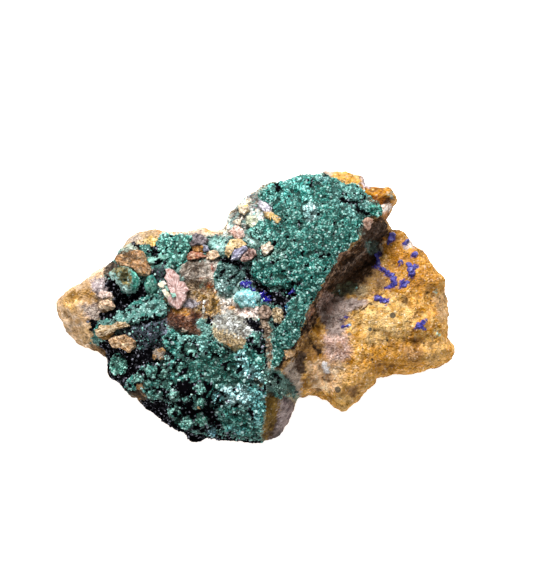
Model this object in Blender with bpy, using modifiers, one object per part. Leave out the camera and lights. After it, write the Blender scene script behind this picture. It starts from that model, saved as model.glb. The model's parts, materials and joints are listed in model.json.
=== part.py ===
"""Azurite and malachite on limonite: a hand specimen that lies on its broken base.

One host rock carries everything. Its upper side has two levels: a low ledge of yellow
limonite on the right and a high mass on the left, with a ragged wall between them.
Crusts of malachite lie in shallow beds on the high mass, and small groups of azurite
crystals stand on the ledge. X runs to the right, Y away from the viewer, Z up.

Written for Blender 4.5. Sizes are in millimetres and are turned to metres by MM.
"""

import math
import random

import bmesh
import bpy
import numpy as np
from mathutils import Matrix, Vector, noise
from mathutils.bvhtree import BVHTree

MM = 0.001
SEED = 7

# The plan outline, seen from above, anticlockwise from the right-hand end.
CENTRE = (1.5, 0.5)
OUTLINE = [
    (43.5, 2.45), (43.5, 5.8), (41.9, 9.2), (39.6, 12.5), (37.2, 14.9), (34.8, 17.2), (32.2, 19.0),
    (29.8, 20.4), (31.6, 24.9), (30.8, 26.8), (29.0, 27.45), (25.0, 27.45), (23.0, 30.45), (19.5, 30.95),
    (13.0, 30.95), (7.0, 29.95), (1.5, 27.95), (-3.0, 25.45), (-6.0, 21.45), (-7.5, 19.45), (-9.0, 18.95),
    (-13.5, 18.95), (-19.0, 18.95), (-21.5, 19.45), (-24.5, 20.45), (-27.5, 19.45), (-30.0, 16.9),
    (-34.2, 11.6), (-38.2, 9.3), (-43.6, 6.7), (-45.7, 3.2), (-45.2, -0.9), (-42.0, -4.3),
    (-36.8, -6.7), (-34.0, -6.55), (-34.5, -9.55), (-33.2, -12.9), (-28.2, -18.0), (-23.2, -22.0),
    (-18.5, -25.4), (-13.0, -28.05), (-9.5, -27.5), (-4.0, -28.6), (1.5, -28.2), (6.9, -25.0),
    (8.5, -22.4), (9.0, -18.05), (13.0, -17.55), (16.5, -18.05), (18.5, -20.05), (21.2, -20.6),
    (25.2, -17.6), (28.5, -13.2), (33.5, -12.6), (40.5, -11.6), (45.5, -9.1), (45.5, -6.05),
    (44.5, -5.05),
]

# How the side of the rock runs, by bearing: degrees from +X, the share of the height at
# which it is widest, and how far the top rim and the foot lie inside the outline.
SIDE_PROFILE = [
    (0, 0.60, 2.0, 5.0), (40, 0.85, 1.0, 9.0), (90, 0.85, 1.5, 7.0), (140, 0.75, 1.5, 6.0), (180, 0.50, 3.5, 7.0),
    (215, 0.38, 4.5, 4.0), (265, 0.30, 5.0, 3.0), (288, 0.35, 3.5, 3.0), (315, 0.50, 2.0, 5.0), (360, 0.60, 2.0, 5.0),
]

# Spot heights of the high mass: x, y, z.
HIGH_SPOTS = [
    (-40.5, 3.0, 12.5), (-37.0, -1.5, 11.5), (-39.0, -5.0, 8.5), (-33.5, 5.5, 14.5), (-26.5, 16.5, 14.5),
    (-30.0, 10.5, 15.0), (-29.0, 2.5, 13.5), (-18.5, 3.5, 17.5), (-13.0, 6.5, 18.5), (-3.5, 11.5, 21.0),
    (-4.5, -8.5, 18.5), (-24.5, -12.5, 13.5), (-13.0, -18.5, 15.5), (-2.5, -21.0, 15.0), (-13.0, -27.0, 9.0),
    (-31.0, -13.5, 9.5), (0.0, 23.5, 22.0), (10.0, 28.0, 22.5), (18.5, 27.5, 23.5), (28.5, 20.5, 24.5),
    (31.0, 24.0, 23.0), (10.0, 15.0, 24.5), (21.5, 11.0, 26.0), (17.0, 6.0, 26.0), (10.0, -6.5, 23.0),
    (4.5, -16.0, 20.0), (0.0, 6.5, 21.5), (-3.5, 20.0, 21.0), (-6.5, 16.5, 18.5), (-15.0, 14.0, 16.5),
    (-22.0, -3.0, 15.0), (1.0, -9.5, 18.5), (4.0, -20.0, 14.0), (5.5, -24.5, 7.5), (8.0, -20.5, 9.5),
    (-4.0, -26.5, 10.0), (-22.0, -20.0, 10.0),
]

# Spot heights of the ledge: x, y, z.
LEDGE_SPOTS = [
    (32.0, 18.0, 15.0), (38.0, 11.5, 15.5), (43.5, 2.5, 12.5), (44.5, -7.5, 11.0), (43.5, -11.0, 9.0),
    (33.0, 1.5, 16.5), (31.0, -3.5, 17.0), (40.0, -3.0, 15.5), (28.5, -10.0, 12.5), (38.0, -9.0, 12.0),
    (40.0, -12.0, 11.5), (21.5, -8.0, 14.5), (20.5, -19.0, 9.5), (20.5, -15.0, 12.5), (15.0, -17.5, 9.5),
    (10.0, -17.5, 10.5), (12.5, -9.5, 15.0), (17.0, -0.5, 15.0), (21.5, 5.0, 13.5), (27.5, 11.0, 12.5),
    (8.0, -15.0, 13.0),
]

# The foot of the wall between the two levels: x, y, and how far the wall runs out.
WALL = [
    (33.5, 20.5, 1.2), (30.5, 18.5, 1.6), (27.0, 15.0, 2.6), (26.0, 11.5, 4.2), (23.0, 8.0, 4.6), (20.0, 5.0, 4.2),
    (17.0, 1.5, 3.0), (14.0, -2.5, 2.4), (12.0, -6.5, 2.0), (10.5, -11.0, 1.6), (8.0, -15.5, 1.6), (6.0, -18.0, 2.0),
    (10.0, -20.5, 2.5),
]

# The wall's section, a steep foot, a bench and a steep brow: share of the run, share of the height.
WALL_STEPS = [(0, 0), (0.22, 0.36), (0.5, 0.5), (0.64, 0.9), (1.0, 1.0)]

# Lumps of the rock itself: x, y, half length, half width, turn in degrees, height.
# They are the fragments that the limonite has cemented; a negative height is a hollow.
LUMPS = [
    (-4.3, 16.2, 1.7, 1.4, 0, 1.5),
    (-4.7, 11.8, 2.4, 2.0, 20, 2.1),
    (-1.7, 9.7, 1.9, 1.5, 35, 1.8),
    (2.9, 11.4, 1.7, 1.5, 0, 1.5),
    (-2.4, 22.4, 1.6, 1.2, 30, 0.9),
    (3.3, 20.7, 2.0, 1.0, -40, 1.3),
    (-12.8, 14.2, 2.8, 1.4, -15, 1.4),
    (-13.5, 6.6, 4.4, 2.8, -15, 1.6),
    (-10.9, 0.0, 2.8, 2.4, 0, 1.2),
    (-5.4, -7.7, 4.6, 4.0, -10, 2.3),
    (-16.0, -4.2, 3.6, 2.6, -15, 1.5),
    (-28.2, 11.4, 3.6, 2.3, -12, 2.3),
    (-23.6, 9.2, 1.8, 1.2, -30, 1.2),
    (-31.0, 16.2, 2.2, 1.2, 35, 0.9),
    (-34.2, 1.4, 1.8, 1.2, 15, 1.4),
    (-33.0, -4.7, 3.9, 1.1, 22, 2.0),
    (-30.2, -7.7, 2.7, 1.4, 8, 1.7),
    (-22.0, -11.3, 1.3, 1.3, 0, 1.7),
    (-36.8, -1.4, 1.8, 1.1, 20, 0.9),
    (25.6, 17.2, 1.3, 1.1, 0, 1.0),
    (7.7, -12.9, 1.2, 0.9, 30, 0.9),
    (20.5, 0.2, 4.2, 2.0, 15, 1.3),
    (12.6, -12.2, 2.6, 1.6, -60, 1.3),
    (36.5, -10.6, 3.0, 1.3, 5, 0.9),
    (30.2, 25.0, 1.6, 1.1, 10, 0.9),
    (-29.0, 3.0, 3.0, 1.9, 25, -2.6),
    (-23.8, 1.4, 2.2, 1.6, 0, -1.6),
    (-25.4, -9.6, 4.2, 1.9, -15, -1.7),
    (-29.0, -12.6, 2.6, 1.8, -25, -1.3),
    (-20.6, -22.0, 3.2, 1.6, -35, -1.5),
    (-24.4, 13.6, 1.3, 0.8, 30, -1.3),
    (30.2, 21.9, 1.8, 0.9, 15, -2.2),
]

# Grooves: half width, depth, and x, y along the bottom.
GROOVES = [
    (0.9, 1.7, [(-4.4, 6.0), (-2.2, 4.0), (1.4, 1.6), (5.2, -0.6), (8.4, 0.6), (10.8, -1.4)]),
    (0.8, 1.4, [(-8.0, 10.2), (-4.6, 8.7), (-1.6, 7.3), (0.2, 5.4)]),
    (0.7, 1.2, [(4.6, -7.0), (4.4, -11.0), (4.2, -15.0)]),
    (0.5, 1.0, [(13.0, -7.6), (15.4, -10.4), (16.2, -12.6)]),
    (0.5, 0.9, [(24.2, -1.2), (27.8, 0.4)]),
    (0.8, 1.3, [(-23.0, -8.4), (-19.4, -10.0), (-18.6, -12.0)]),
]

# A thin vein stands up between the two large malachite crusts: x, y along its crest.
VEIN = [(0.1, -2.4), (1.7, -4.3), (2.6, -6.6), (3.1, -9.5), (3.3, -12.5), (3.1, -16.0), (2.9, -18.6)]
VEIN_HALF_WIDTH = 0.8
VEIN_HEIGHT = 1.3

# Malachite crusts: how far each stands proud, how knobbly it is, and its outline in plan.
CRUSTS = {
    "malachite_plate": (1.2, 0.5, [
        (0.8, 25.2), (2.4, 27.2), (4.8, 28.2), (8.0, 29.2), (12.1, 29.6), (15.2, 29.6), (17.0, 28.6), (19.0, 27.3),
        (21.6, 26.8), (23.8, 25.4), (26.2, 22.9), (28.1, 20.9), (27.7, 19.4), (26.3, 18.7), (24.8, 18.0),
        (24.0, 15.1), (23.3, 13.0), (20.4, 10.4), (18.7, 8.9), (16.6, 5.3), (15.2, 3.1), (13.2, -0.5), (12.0, -2.7),
        (10.2, -7.0), (8.9, -10.7), (6.8, -12.0), (5.6, -14.4), (4.4, -15.6), (4.5, -12.0), (4.9, -8.2), (7.3, -5.8),
        (7.4, -3.0), (7.6, -1.0), (9.2, 0.0), (9.9, 1.4), (8.6, 2.6), (6.4, 2.6), (3.9, 2.9), (0.8, 4.4), (-0.9, 6.4), (0.4, 8.6), (3.4, 9.4), (4.6, 11.4),
        (3.4, 13.2), (0.8, 14.0), (-1.2, 16.0), (1.4, 18.2), (3.6, 18.6), (4.8, 19.8), (4.2, 21.8), (1.8, 23.4),
    ]),
    "malachite_apron": (1.3, 0.9, [
        (-21.0, -8.0), (-19.4, -6.4), (-16.4, -7.8), (-13.4, -7.6), (-10.6, -9.0), (-7.7, -11.5), (-5.0, -12.9),
        (-2.6, -12.3), (-1.8, -9.6), (-0.3, -8.2), (1.2, -9.0), (1.9, -12.0), (2.0, -16.4), (2.2, -19.0), (1.8, -22.0),
        (1.8, -25.0), (0.6, -27.2), (-3.8, -27.4), (-8.2, -26.6), (-12.0, -27.0), (-15.6, -25.8), (-18.2, -24.2),
        (-19.4, -22.0), (-21.6, -20.6), (-24.2, -19.4), (-25.9, -17.8), (-26.9, -15.0), (-25.6, -13.7),
        (-22.6, -13.6), (-19.6, -13.6), (-17.8, -12.1), (-19.6, -9.6),
    ]),
    "malachite_band": (1.1, 0.6, [
        (-36.6, -4.9), (-35.8, -3.0), (-33.4, -2.2), (-30.7, -0.9), (-28.2, 0.7), (-25.8, 2.1), (-23.8, 2.4),
        (-22.2, 2.8), (-20.8, 1.2), (-20.2, -0.4), (-21.2, -2.8), (-23.6, -3.0), (-26.4, -3.6), (-28.6, -4.0),
        (-30.0, -3.0), (-32.0, -2.9), (-34.0, -3.9), (-35.4, -5.2),
    ]),
    "malachite_back_crust": (1.2, 0.8, [
        (-22.4, 16.4), (-20.8, 17.2), (-18.6, 16.4), (-16.2, 16.8), (-14.6, 16.0), (-15.6, 13.0), (-16.2, 10.8),
        (-17.6, 8.9), (-19.8, 9.2), (-19.8, 11.2), (-21.4, 13.0), (-22.6, 14.6),
    ]),
    "malachite_middle_crust": (0.9, 0.7, [
        (-8.7, 7.6), (-7.4, 8.6), (-5.6, 8.0), (-3.4, 6.8), (-4.0, 4.9), (-4.8, 3.2), (-6.3, 2.0), (-7.9, 3.2),
        (-9.0, 5.4),
    ]),
    "pale_malachite_patch": (1.2, 0.5, [
        (-4.4, 0.9), (-2.8, 1.8), (-0.8, 1.5), (0.6, 0.2), (-0.9, -1.6), (-3.6, -1.2),
    ]),
    "malachite_foot": (0.8, 0.4, [
        (3.6, -18.0), (5.0, -17.0), (6.6, -17.6), (8.3, -18.6), (7.0, -20.0), (4.6, -20.6), (3.4, -19.6),
    ]),
    "malachite_knob": (1.3, 0.7, [
        (-33.6, -11.2), (-33.2, -9.6), (-31.6, -9.3), (-29.8, -11.0), (-29.4, -12.6), (-30.6, -13.8), (-32.6, -13.6),
    ]),
    "malachite_rim_bead": (1.2, 0.3, [
        (-29.4, -15.9), (-28.5, -14.9), (-27.2, -15.8), (-27.5, -17.2), (-28.9, -17.2),
    ]),
    "malachite_curl": (2.0, 0.3, [
        (-33.0, 8.2), (-31.4, 9.3), (-29.4, 8.8), (-27.2, 7.4), (-26.6, 5.2), (-28.2, 4.0), (-30.0, 4.1), (-31.4, 5.6),
        (-32.8, 6.8),
    ]),
    "malachite_bead": (1.7, 0.3, [
        (-24.9, 6.9), (-23.8, 7.2), (-22.9, 5.8), (-22.7, 4.1), (-23.6, 2.9), (-24.7, 3.6), (-25.2, 5.4),
    ]),
    "malachite_hook": (1.5, 0.2, [
        (-24.9, 11.0), (-24.0, 12.5), (-22.2, 13.2), (-20.9, 12.4), (-20.6, 10.9), (-21.8, 11.2), (-23.2, 10.2),
    ]),
    "malachite_back_chip": (0.9, 0.3, [
        (-26.6, 14.8), (-25.2, 15.7), (-23.8, 15.0), (-23.9, 13.6), (-25.6, 13.2),
    ]),
    "pink_feldspar_chip": (1.7, 0.2, [
        (-20.6, 8.0), (-19.6, 8.3), (-18.4, 7.0), (-16.6, 5.4), (-15.5, 3.8), (-16.2, 1.4), (-17.4, -0.8),
        (-18.8, -0.6), (-19.6, 1.2), (-21.4, 2.6), (-22.0, 4.6), (-21.0, 6.0),
    ]),
}

# Larger knobs on the crusts: x, y, radius, height. A negative height is a dimple.
CRUST_KNOBS = [
    (27.0, 20.2, 2.2, 0.6),
    (-23.4, -18.6, 2.0, 1.1),
    (-18.4, -20.4, 2.1, 1.3),
    (-18.0, -22.8, 2.0, 1.2),
    (-15.6, -24.9, 2.1, 1.2),
    (-12.2, -25.0, 2.1, 1.4),
    (-12.8, -21.8, 2.0, 0.9),
    (-0.2, -9.8, 2.2, 1.4),
    (-2.2, -17.2, 2.6, 0.8),
    (-4.7, -21.0, 2.6, 0.9),
    (-9.8, -25.6, 1.8, 0.9),
    (-24.0, -15.8, 2.2, 0.8),
    (-29.8, 6.6, 1.5, -2.0),
]

# Azurite: x, y, half length, half width, turn in degrees, height and how many crystals.
AZURITE = {
    "azurite_ledge_1": (31.2, 16.9, 1.2, 0.9, 60, 0.9, 2),
    "azurite_ledge_2": (34.4, 15.8, 0.8, 0.5, 30, 0.7, 2),
    "azurite_ledge_3": (36.6, 12.6, 0.8, 0.6, 10, 0.7, 2),
    "azurite_ledge_4": (33.4, 10.9, 0.7, 0.6, 0, 0.7, 2),
    "azurite_ledge_5": (35.6, 9.0, 1.8, 0.9, -70, 0.9, 3),
    "azurite_ledge_6": (28.2, 12.2, 1.8, 0.5, 95, 0.9, 3),
    "azurite_ledge_7": (30.0, 9.2, 1.5, 0.5, -40, 0.9, 3),
    "azurite_ledge_8": (31.8, 6.6, 1.9, 0.8, -75, 0.9, 3),
    "azurite_ledge_9": (34.4, 5.4, 1.3, 0.8, 65, 0.9, 2),
    "azurite_ledge_10": (28.8, 1.7, 1.8, 0.8, -20, 0.9, 3),
    "azurite_ledge_11": (20.4, -4.6, 1.2, 0.4, 20, 0.8, 3),
    "azurite_ledge_12": (37.8, -4.2, 1.4, 0.9, 45, 0.9, 3),
    "azurite_vug_1": (-2.6, 3.0, 1.3, 0.8, -35, 1.2, 2),
    "azurite_vug_2": (1.8, 1.4, 1.3, 0.7, 10, 1.2, 2),
    "azurite_vug_3": (8.1, 1.1, 0.7, 0.5, 10, 0.9, 2),
}

# Fineness and fits.
FORM_CELLS = 88
ROCK_VOXEL = 0.85
ROCK_TRIANGLES = 3450
CRUST_VOXEL = 0.62
CRUST_TRIANGLES_PER_MM2 = 1.05
BED_GAP = 0.32
CRUST_BED_GAP = 0.7
BED_SHARE = 0.8
BED_DEPTH = 1.1
HIGHEST = 60.0
ROUGHNESS_OUT = 0.45

LIMONITE = ((0.52, 0.33, 0.11), 0.85)
MALACHITE = ((0.03, 0.26, 0.19), 0.45)
PALE_MALACHITE = ((0.25, 0.60, 0.55), 0.60)
AZURITE_BLUE = ((0.04, 0.04, 0.36), 0.35)
PINK_FELDSPAR = ((0.78, 0.55, 0.48), 0.60)


def clear_scene():
    """Removes every object, so that the script can be run again from the text editor."""
    for obj in list(bpy.data.objects):
        bpy.data.objects.remove(obj, do_unlink=True)


def collection(name):
    """A new collection in the scene."""
    made = bpy.data.collections.new(name)
    bpy.context.scene.collection.children.link(made)
    return made


def material(name, look):
    """A Principled material from (colour, roughness)."""
    colour, roughness = look
    made = bpy.data.materials.new(name)
    made.use_nodes = True
    shader = made.node_tree.nodes["Principled BSDF"]
    shader.inputs["Base Color"].default_value = (*colour, 1.0)
    shader.inputs["Roughness"].default_value = roughness
    shader.inputs["Metallic"].default_value = 0.0
    return made


def add(name, mesh, where):
    """An object for a mesh, linked to a collection."""
    obj = bpy.data.objects.new(name, mesh)
    where.objects.link(obj)
    return obj


def evaluated_mesh(obj):
    """The object's mesh with its modifiers applied, as a mesh of its own."""
    bpy.context.view_layer.update()
    graph = bpy.context.evaluated_depsgraph_get()
    return bpy.data.meshes.new_from_object(obj.evaluated_get(graph), depsgraph=graph)


def points_of(mesh):
    """The vertices as an array, in millimetres."""
    flat = np.empty(len(mesh.vertices) * 3)
    mesh.vertices.foreach_get("co", flat)
    return flat.reshape(-1, 3) / MM


def set_points(mesh, points):
    """Moves the vertices to an array of places in millimetres."""
    mesh.vertices.foreach_set("co", (points * MM).ravel())
    mesh.update()


def spot_height(spots, x, y):
    """The height at plan points, drawn smoothly between the spot heights."""
    total = np.zeros_like(x)
    weight = np.zeros_like(x)
    for sx, sy, sz in spots:
        w = ((x - sx) ** 2 + (y - sy) ** 2 + 3.0) ** -1.7
        total += w * sz
        weight += w
    return total / weight


def along_line(line, x, y):
    """Distance of plan points from a line of points, which side they are on and how far along they are."""
    best = np.full(x.shape, 1e9)
    side = np.ones_like(x)
    place = np.zeros_like(x)
    for i in range(len(line) - 1):
        ax, ay = line[i][:2]
        dx, dy = line[i + 1][0] - ax, line[i + 1][1] - ay
        share = np.clip(((x - ax) * dx + (y - ay) * dy) / (dx * dx + dy * dy), 0, 1)
        away = np.hypot(x - ax - share * dx, y - ay - share * dy)
        near = away < best
        best = np.where(near, away, best)
        side = np.where(near, np.sign(dx * (y - ay) - dy * (x - ax)), side)
        place = np.where(near, i + share, place)
    return best, side, place


def smooth_step(t):
    """0 below 0, 1 above 1, and smooth between."""
    t = np.clip(t, 0, 1)
    return t * t * (3 - 2 * t)


def upper_side(x, y):
    """Height of the rock's upper side at plan points."""
    high = spot_height(HIGH_SPOTS, x, y)
    low = np.minimum(spot_height(LEDGE_SPOTS, x, y), high)
    away, side, place = along_line(WALL, x, y)
    # The line runs from the back to the front, so the high mass is on its right-hand side.
    inside = np.where(side < 0, away, -away)
    run = np.interp(place, range(len(WALL)), [p[2] for p in WALL])
    on_mass = np.interp(inside / run, *zip(*WALL_STEPS))
    z = low + (high - low) * on_mass
    for lx, ly, long, short, turn, height in LUMPS:
        c, s = math.cos(math.radians(turn)), math.sin(math.radians(turn))
        u = ((x - lx) * c + (y - ly) * s) / long
        v = ((y - ly) * c - (x - lx) * s) / short
        z = z + height * smooth_step(1.45 - np.hypot(u, v))
    for half_width, depth, line in GROOVES:
        away, _, _ = along_line(line, x, y)
        z = z - depth * smooth_step(1.5 - away / half_width)
    away, _, _ = along_line(VEIN, x, y)
    return z + VEIN_HEIGHT * smooth_step(1.5 - away / VEIN_HALF_WIDTH)


def under_side(x, y):
    """Height of the rock's broken underside before it is cut flat: it bears on the ground in patches."""
    rough = np.array([noise.noise(Vector((a / 9, b / 9, 3.1))) for a, b in zip(x, y)])
    return 0.2 + 3.2 * rough


def reach(bearing):
    """How far the outline lies from the centre, by bearing in radians."""
    angle = [math.atan2(y - CENTRE[1], x - CENTRE[0]) for x, y in OUTLINE]
    far = [math.hypot(x - CENTRE[0], y - CENTRE[1]) for x, y in OUTLINE]
    order = np.argsort(angle)
    return np.interp(bearing, np.array(angle)[order], np.array(far)[order], period=2 * math.pi)


def rock_form(where):
    """The plain form of the rock: a gridded block drawn out to the outline, the sides and the upper relief."""
    mesh = bpy.data.meshes.new("rock_form")
    form = bmesh.new()
    bmesh.ops.create_cube(form, size=2.0)
    bmesh.ops.subdivide_edges(form, edges=form.edges[:], cuts=FORM_CELLS, use_grid_fill=True)
    form.to_mesh(mesh)
    form.free()
    block = points_of(mesh) * MM
    a, b, level = block[:, 0], block[:, 1], (block[:, 2] + 1) / 2
    bearing = np.arctan2(b, a)
    degrees = np.degrees(bearing) % 360
    widest, top_in, foot_in = (
        np.interp(degrees, [p[0] for p in SIDE_PROFILE], [p[k] for p in SIDE_PROFILE]) for k in (1, 2, 3)
    )
    above = np.clip((level - widest) / (1 - widest), 0, 1)
    below = np.clip((widest - level) / widest, 0, 1)
    inset = top_in * above**2 + foot_in * below**2
    far = np.maximum(np.abs(a), np.abs(b)) * (reach(bearing) - ROUGHNESS_OUT - inset)
    x = CENTRE[0] + far * np.cos(bearing)
    y = CENTRE[1] + far * np.sin(bearing)
    low = under_side(x, y)
    z = low + level * (upper_side(x, y) - low)
    set_points(mesh, np.stack([x, y, z], axis=1))
    return add("rock_form", mesh, where)


def texture(kind, size, **settings):
    """A procedural texture whose pattern has the given size in millimetres."""
    made = bpy.data.textures.new(kind.lower(), kind)
    made.noise_scale = size * MM
    for key, value in settings.items():
        setattr(made, key, value)
    return made


def displace(obj, strength, pattern=None):
    """Pushes the surface out along its normals, by a pattern or evenly."""
    push = obj.modifiers.new("displace", "DISPLACE")
    push.strength = strength * MM
    push.texture = pattern
    push.texture_coords = "GLOBAL"
    push.mid_level = 0.5 if pattern else 0.0
    return push


def remesh(obj, voxel):
    """Gives the surface one even fineness, in millimetres."""
    even = obj.modifiers.new("remesh", "REMESH")
    even.mode = "VOXEL"
    even.voxel_size = voxel * MM


def thin_out(obj, triangles):
    """Collapses the mesh to about this many triangles."""
    baked(obj)
    fewer = obj.modifiers.new("decimate", "DECIMATE")
    fewer.ratio = min(1.0, triangles / (2 * len(obj.data.polygons)))
    baked(obj)


def boolean(obj, operation, other):
    """A Boolean with an object or a collection, by the exact solver."""
    step = obj.modifiers.new(operation.lower(), "BOOLEAN")
    step.operation = operation
    step.solver = "EXACT"
    if isinstance(other, bpy.types.Collection):
        step.operand_type = "COLLECTION"
        step.collection = other
    else:
        step.object = other
    return step


def host_rock(parts, helpers):
    """The rock before the beds are cut: even mesh, broken surface, flat foot."""
    form = rock_form(helpers)
    displace(form, 1.5, texture("VORONOI", 6.5, distance_metric="DISTANCE", noise_intensity=1.2))
    displace(form, 1.5, texture("CLOUDS", 2.8, noise_depth=2))
    displace(form, 0.9, texture("VORONOI", 3.4, distance_metric="DISTANCE", noise_intensity=1.2))
    remesh(form, ROCK_VOXEL)
    hide(form)
    rock = add("host_rock", evaluated_mesh(form), parts)
    slab_height = 20.0
    bpy.ops.mesh.primitive_cube_add(size=1.0, location=(0, 0, -slab_height / 2 * MM))
    ground = bpy.context.object
    ground.name = "ground_cutter"
    ground.data.transform(Matrix.Diagonal((200 * MM, 200 * MM, slab_height * MM, 1.0)))
    move_to(ground, helpers)
    hide(ground)
    boolean(rock, "DIFFERENCE", ground)
    thin_out(rock, ROCK_TRIANGLES)
    p = points_of(rock.data)
    p[:, 2] = np.where(p[:, 2] < 0.1, 0.0, p[:, 2])
    set_points(rock.data, p)
    return rock


def hide(obj):
    """Marks an object as a helper."""
    obj.hide_render = True
    obj.display_type = "WIRE"


def move_to(obj, where):
    """Links an object to one collection only."""
    for old in list(obj.users_collection):
        old.objects.unlink(obj)
    where.objects.link(obj)


class Ground:
    """The rock's surface, to lay things on."""

    def __init__(self, rock):
        """Reads the rock's mesh once."""
        mesh = bmesh.new()
        mesh.from_mesh(rock.data)
        self.tree = BVHTree.FromBMesh(mesh)
        mesh.free()

    def at(self, x, y):
        """The point and normal of the upper side at a plan point, in millimetres."""
        hit, normal, _, _ = self.tree.ray_cast(Vector((x * MM, y * MM, HIGHEST * MM)), Vector((0, 0, -1)))
        if hit is None:
            hit, normal, _, _ = self.tree.find_nearest(Vector((x * MM, y * MM, 8.0 * MM)))
        return hit / MM, normal

    def height(self, x, y, spread):
        """The mean height round a plan point, so that one sharp facet doesn't show through."""
        steps = ((0, 0), (spread, 0), (-spread, 0), (0, spread), (0, -spread))
        return sum(self.at(x + dx, y + dy)[0].z for dx, dy in steps) / len(steps)


def bed_slab(name, outline, where):
    """A flat slab with round edges over a closed outline, from -1 to 1 in height."""
    curve = bpy.data.curves.new(name, "CURVE")
    curve.dimensions = "2D"
    curve.fill_mode = "BOTH"
    curve.extrude = 0.4 * MM
    curve.bevel_depth = 0.6 * MM
    curve.bevel_resolution = 2
    curve.offset = -0.6 * MM
    curve.resolution_u = 3
    spline = curve.splines.new("BEZIER")
    spline.bezier_points.add(len(outline) - 1)
    for point, (x, y) in zip(spline.bezier_points, outline):
        point.co = (x * MM, y * MM, 0)
        point.handle_left_type = point.handle_right_type = "AUTO"
    spline.use_cyclic_u = True
    guide = add(name + "_guide", curve, where)
    mesh = evaluated_mesh(guide)
    bpy.data.objects.remove(guide)
    weld = bmesh.new()
    weld.from_mesh(mesh)
    bmesh.ops.remove_doubles(weld, verts=weld.verts, dist=0.01 * MM)
    weld.to_mesh(mesh)
    weld.free()
    return mesh


def knobbly(x, y, size, seed):
    """Rounded knobs packed side by side, from 0 between them to 1 on top."""
    shift = seed * 31.7
    cell_x, cell_y = np.floor(x / size), np.floor(y / size)
    nearest = np.full(x.shape, 9.0)
    for i in (-1, 0, 1):
        for j in (-1, 0, 1):
            cx, cy = cell_x + i, cell_y + j
            jitter_x = np.modf(np.sin(cx * 12.9 + cy * 78.2 + shift) * 437.5)[0] * 0.4
            jitter_y = np.modf(np.sin(cx * 39.3 + cy * 11.1 + shift) * 437.5)[0] * 0.4
            away = np.hypot(x / size - cx - 0.5 - jitter_x, y / size - cy - 0.5 - jitter_y)
            nearest = np.minimum(nearest, away)
    return np.clip(1 - nearest**2 / 0.55, 0, 1)


def area_of(outline):
    """The area inside a closed outline."""
    pairs = zip(outline, outline[1:] + outline[:1])
    return abs(sum(ax * by - bx * ay for (ax, ay), (bx, by) in pairs)) / 2


def crust(name, spec, ground, parts, helpers, beds, seed):
    """A crust that follows the rock below it: sunk by BED_DEPTH, standing proud with a knobbly top.

    What is cut out of the rock for it is the same slab with an even top, grown by the gap.
    """
    proud, knobs, outline = spec
    slab = add(name + "_slab", bed_slab(name, outline, helpers), helpers)
    remesh(slab, CRUST_VOXEL)
    mesh = evaluated_mesh(slab)
    bpy.data.objects.remove(slab)
    p = points_of(mesh)
    lie = np.array([ground.height(x, y, 1.0) for x, y in p[:, :2]])
    floor = np.minimum(lie, [ground.height(x, y, 2.6) for x, y in p[:, :2]])
    share = p[:, 2].copy()
    bumps = knobbly(p[:, 0], p[:, 1], 2.2, seed) * 0.7 + knobbly(p[:, 0], p[:, 1], 1.3, seed + 5) * 0.3
    triangles = CRUST_TRIANGLES_PER_MM2 * area_of(outline) + 44
    large = np.zeros(len(p))
    for kx, ky, radius, height in CRUST_KNOBS:
        large += height * smooth_step(1.2 - np.hypot(p[:, 0] - kx, p[:, 1] - ky) / radius)
    bed = add(name + "_bed", mesh.copy(), beds)
    even = proud + 0.6 * knobs + np.maximum(large, 0)
    p[:, 2] = np.where(share > 0, lie + share * even, floor + share * BED_DEPTH)
    set_points(bed.data, p)
    displace(bed, CRUST_BED_GAP)
    thin_out(bed, BED_SHARE * triangles)
    hide(bed)
    top = proud + knobs * (bumps - 0.4) + large
    p[:, 2] = np.where(share > 0, lie + share * top, floor + share * BED_DEPTH)
    set_points(mesh, p)
    made = add(name, mesh, parts)
    thin_out(made, triangles)
    return made


def baked(obj):
    """Applies an object's modifiers, and returns the mesh that it now has."""
    mesh = evaluated_mesh(obj)
    obj.modifiers.clear()
    obj.data = mesh
    return mesh


def azurite_crystal(dice, half_length, half_width, height):
    """One tabular crystal: a six-sided prism, flattened, with a slanting top, half sunk below its origin."""
    blade = bmesh.new()
    bmesh.ops.create_cone(blade, cap_ends=True, segments=6, radius1=1.0, radius2=0.72, depth=2.0)
    slant = dice.uniform(-0.35, 0.35)
    for vertex in blade.verts:
        if vertex.co.z > 0:
            vertex.co.z += slant * vertex.co.x
    lean = Matrix.Rotation(math.radians(dice.uniform(-24, 24)), 4, "X")
    swing = Matrix.Rotation(math.radians(dice.uniform(-25, 25)), 4, "Z")
    blade.transform(swing @ lean @ Matrix.Diagonal((half_length * MM, half_width * MM, height * MM, 1.0)))
    return blade


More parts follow.
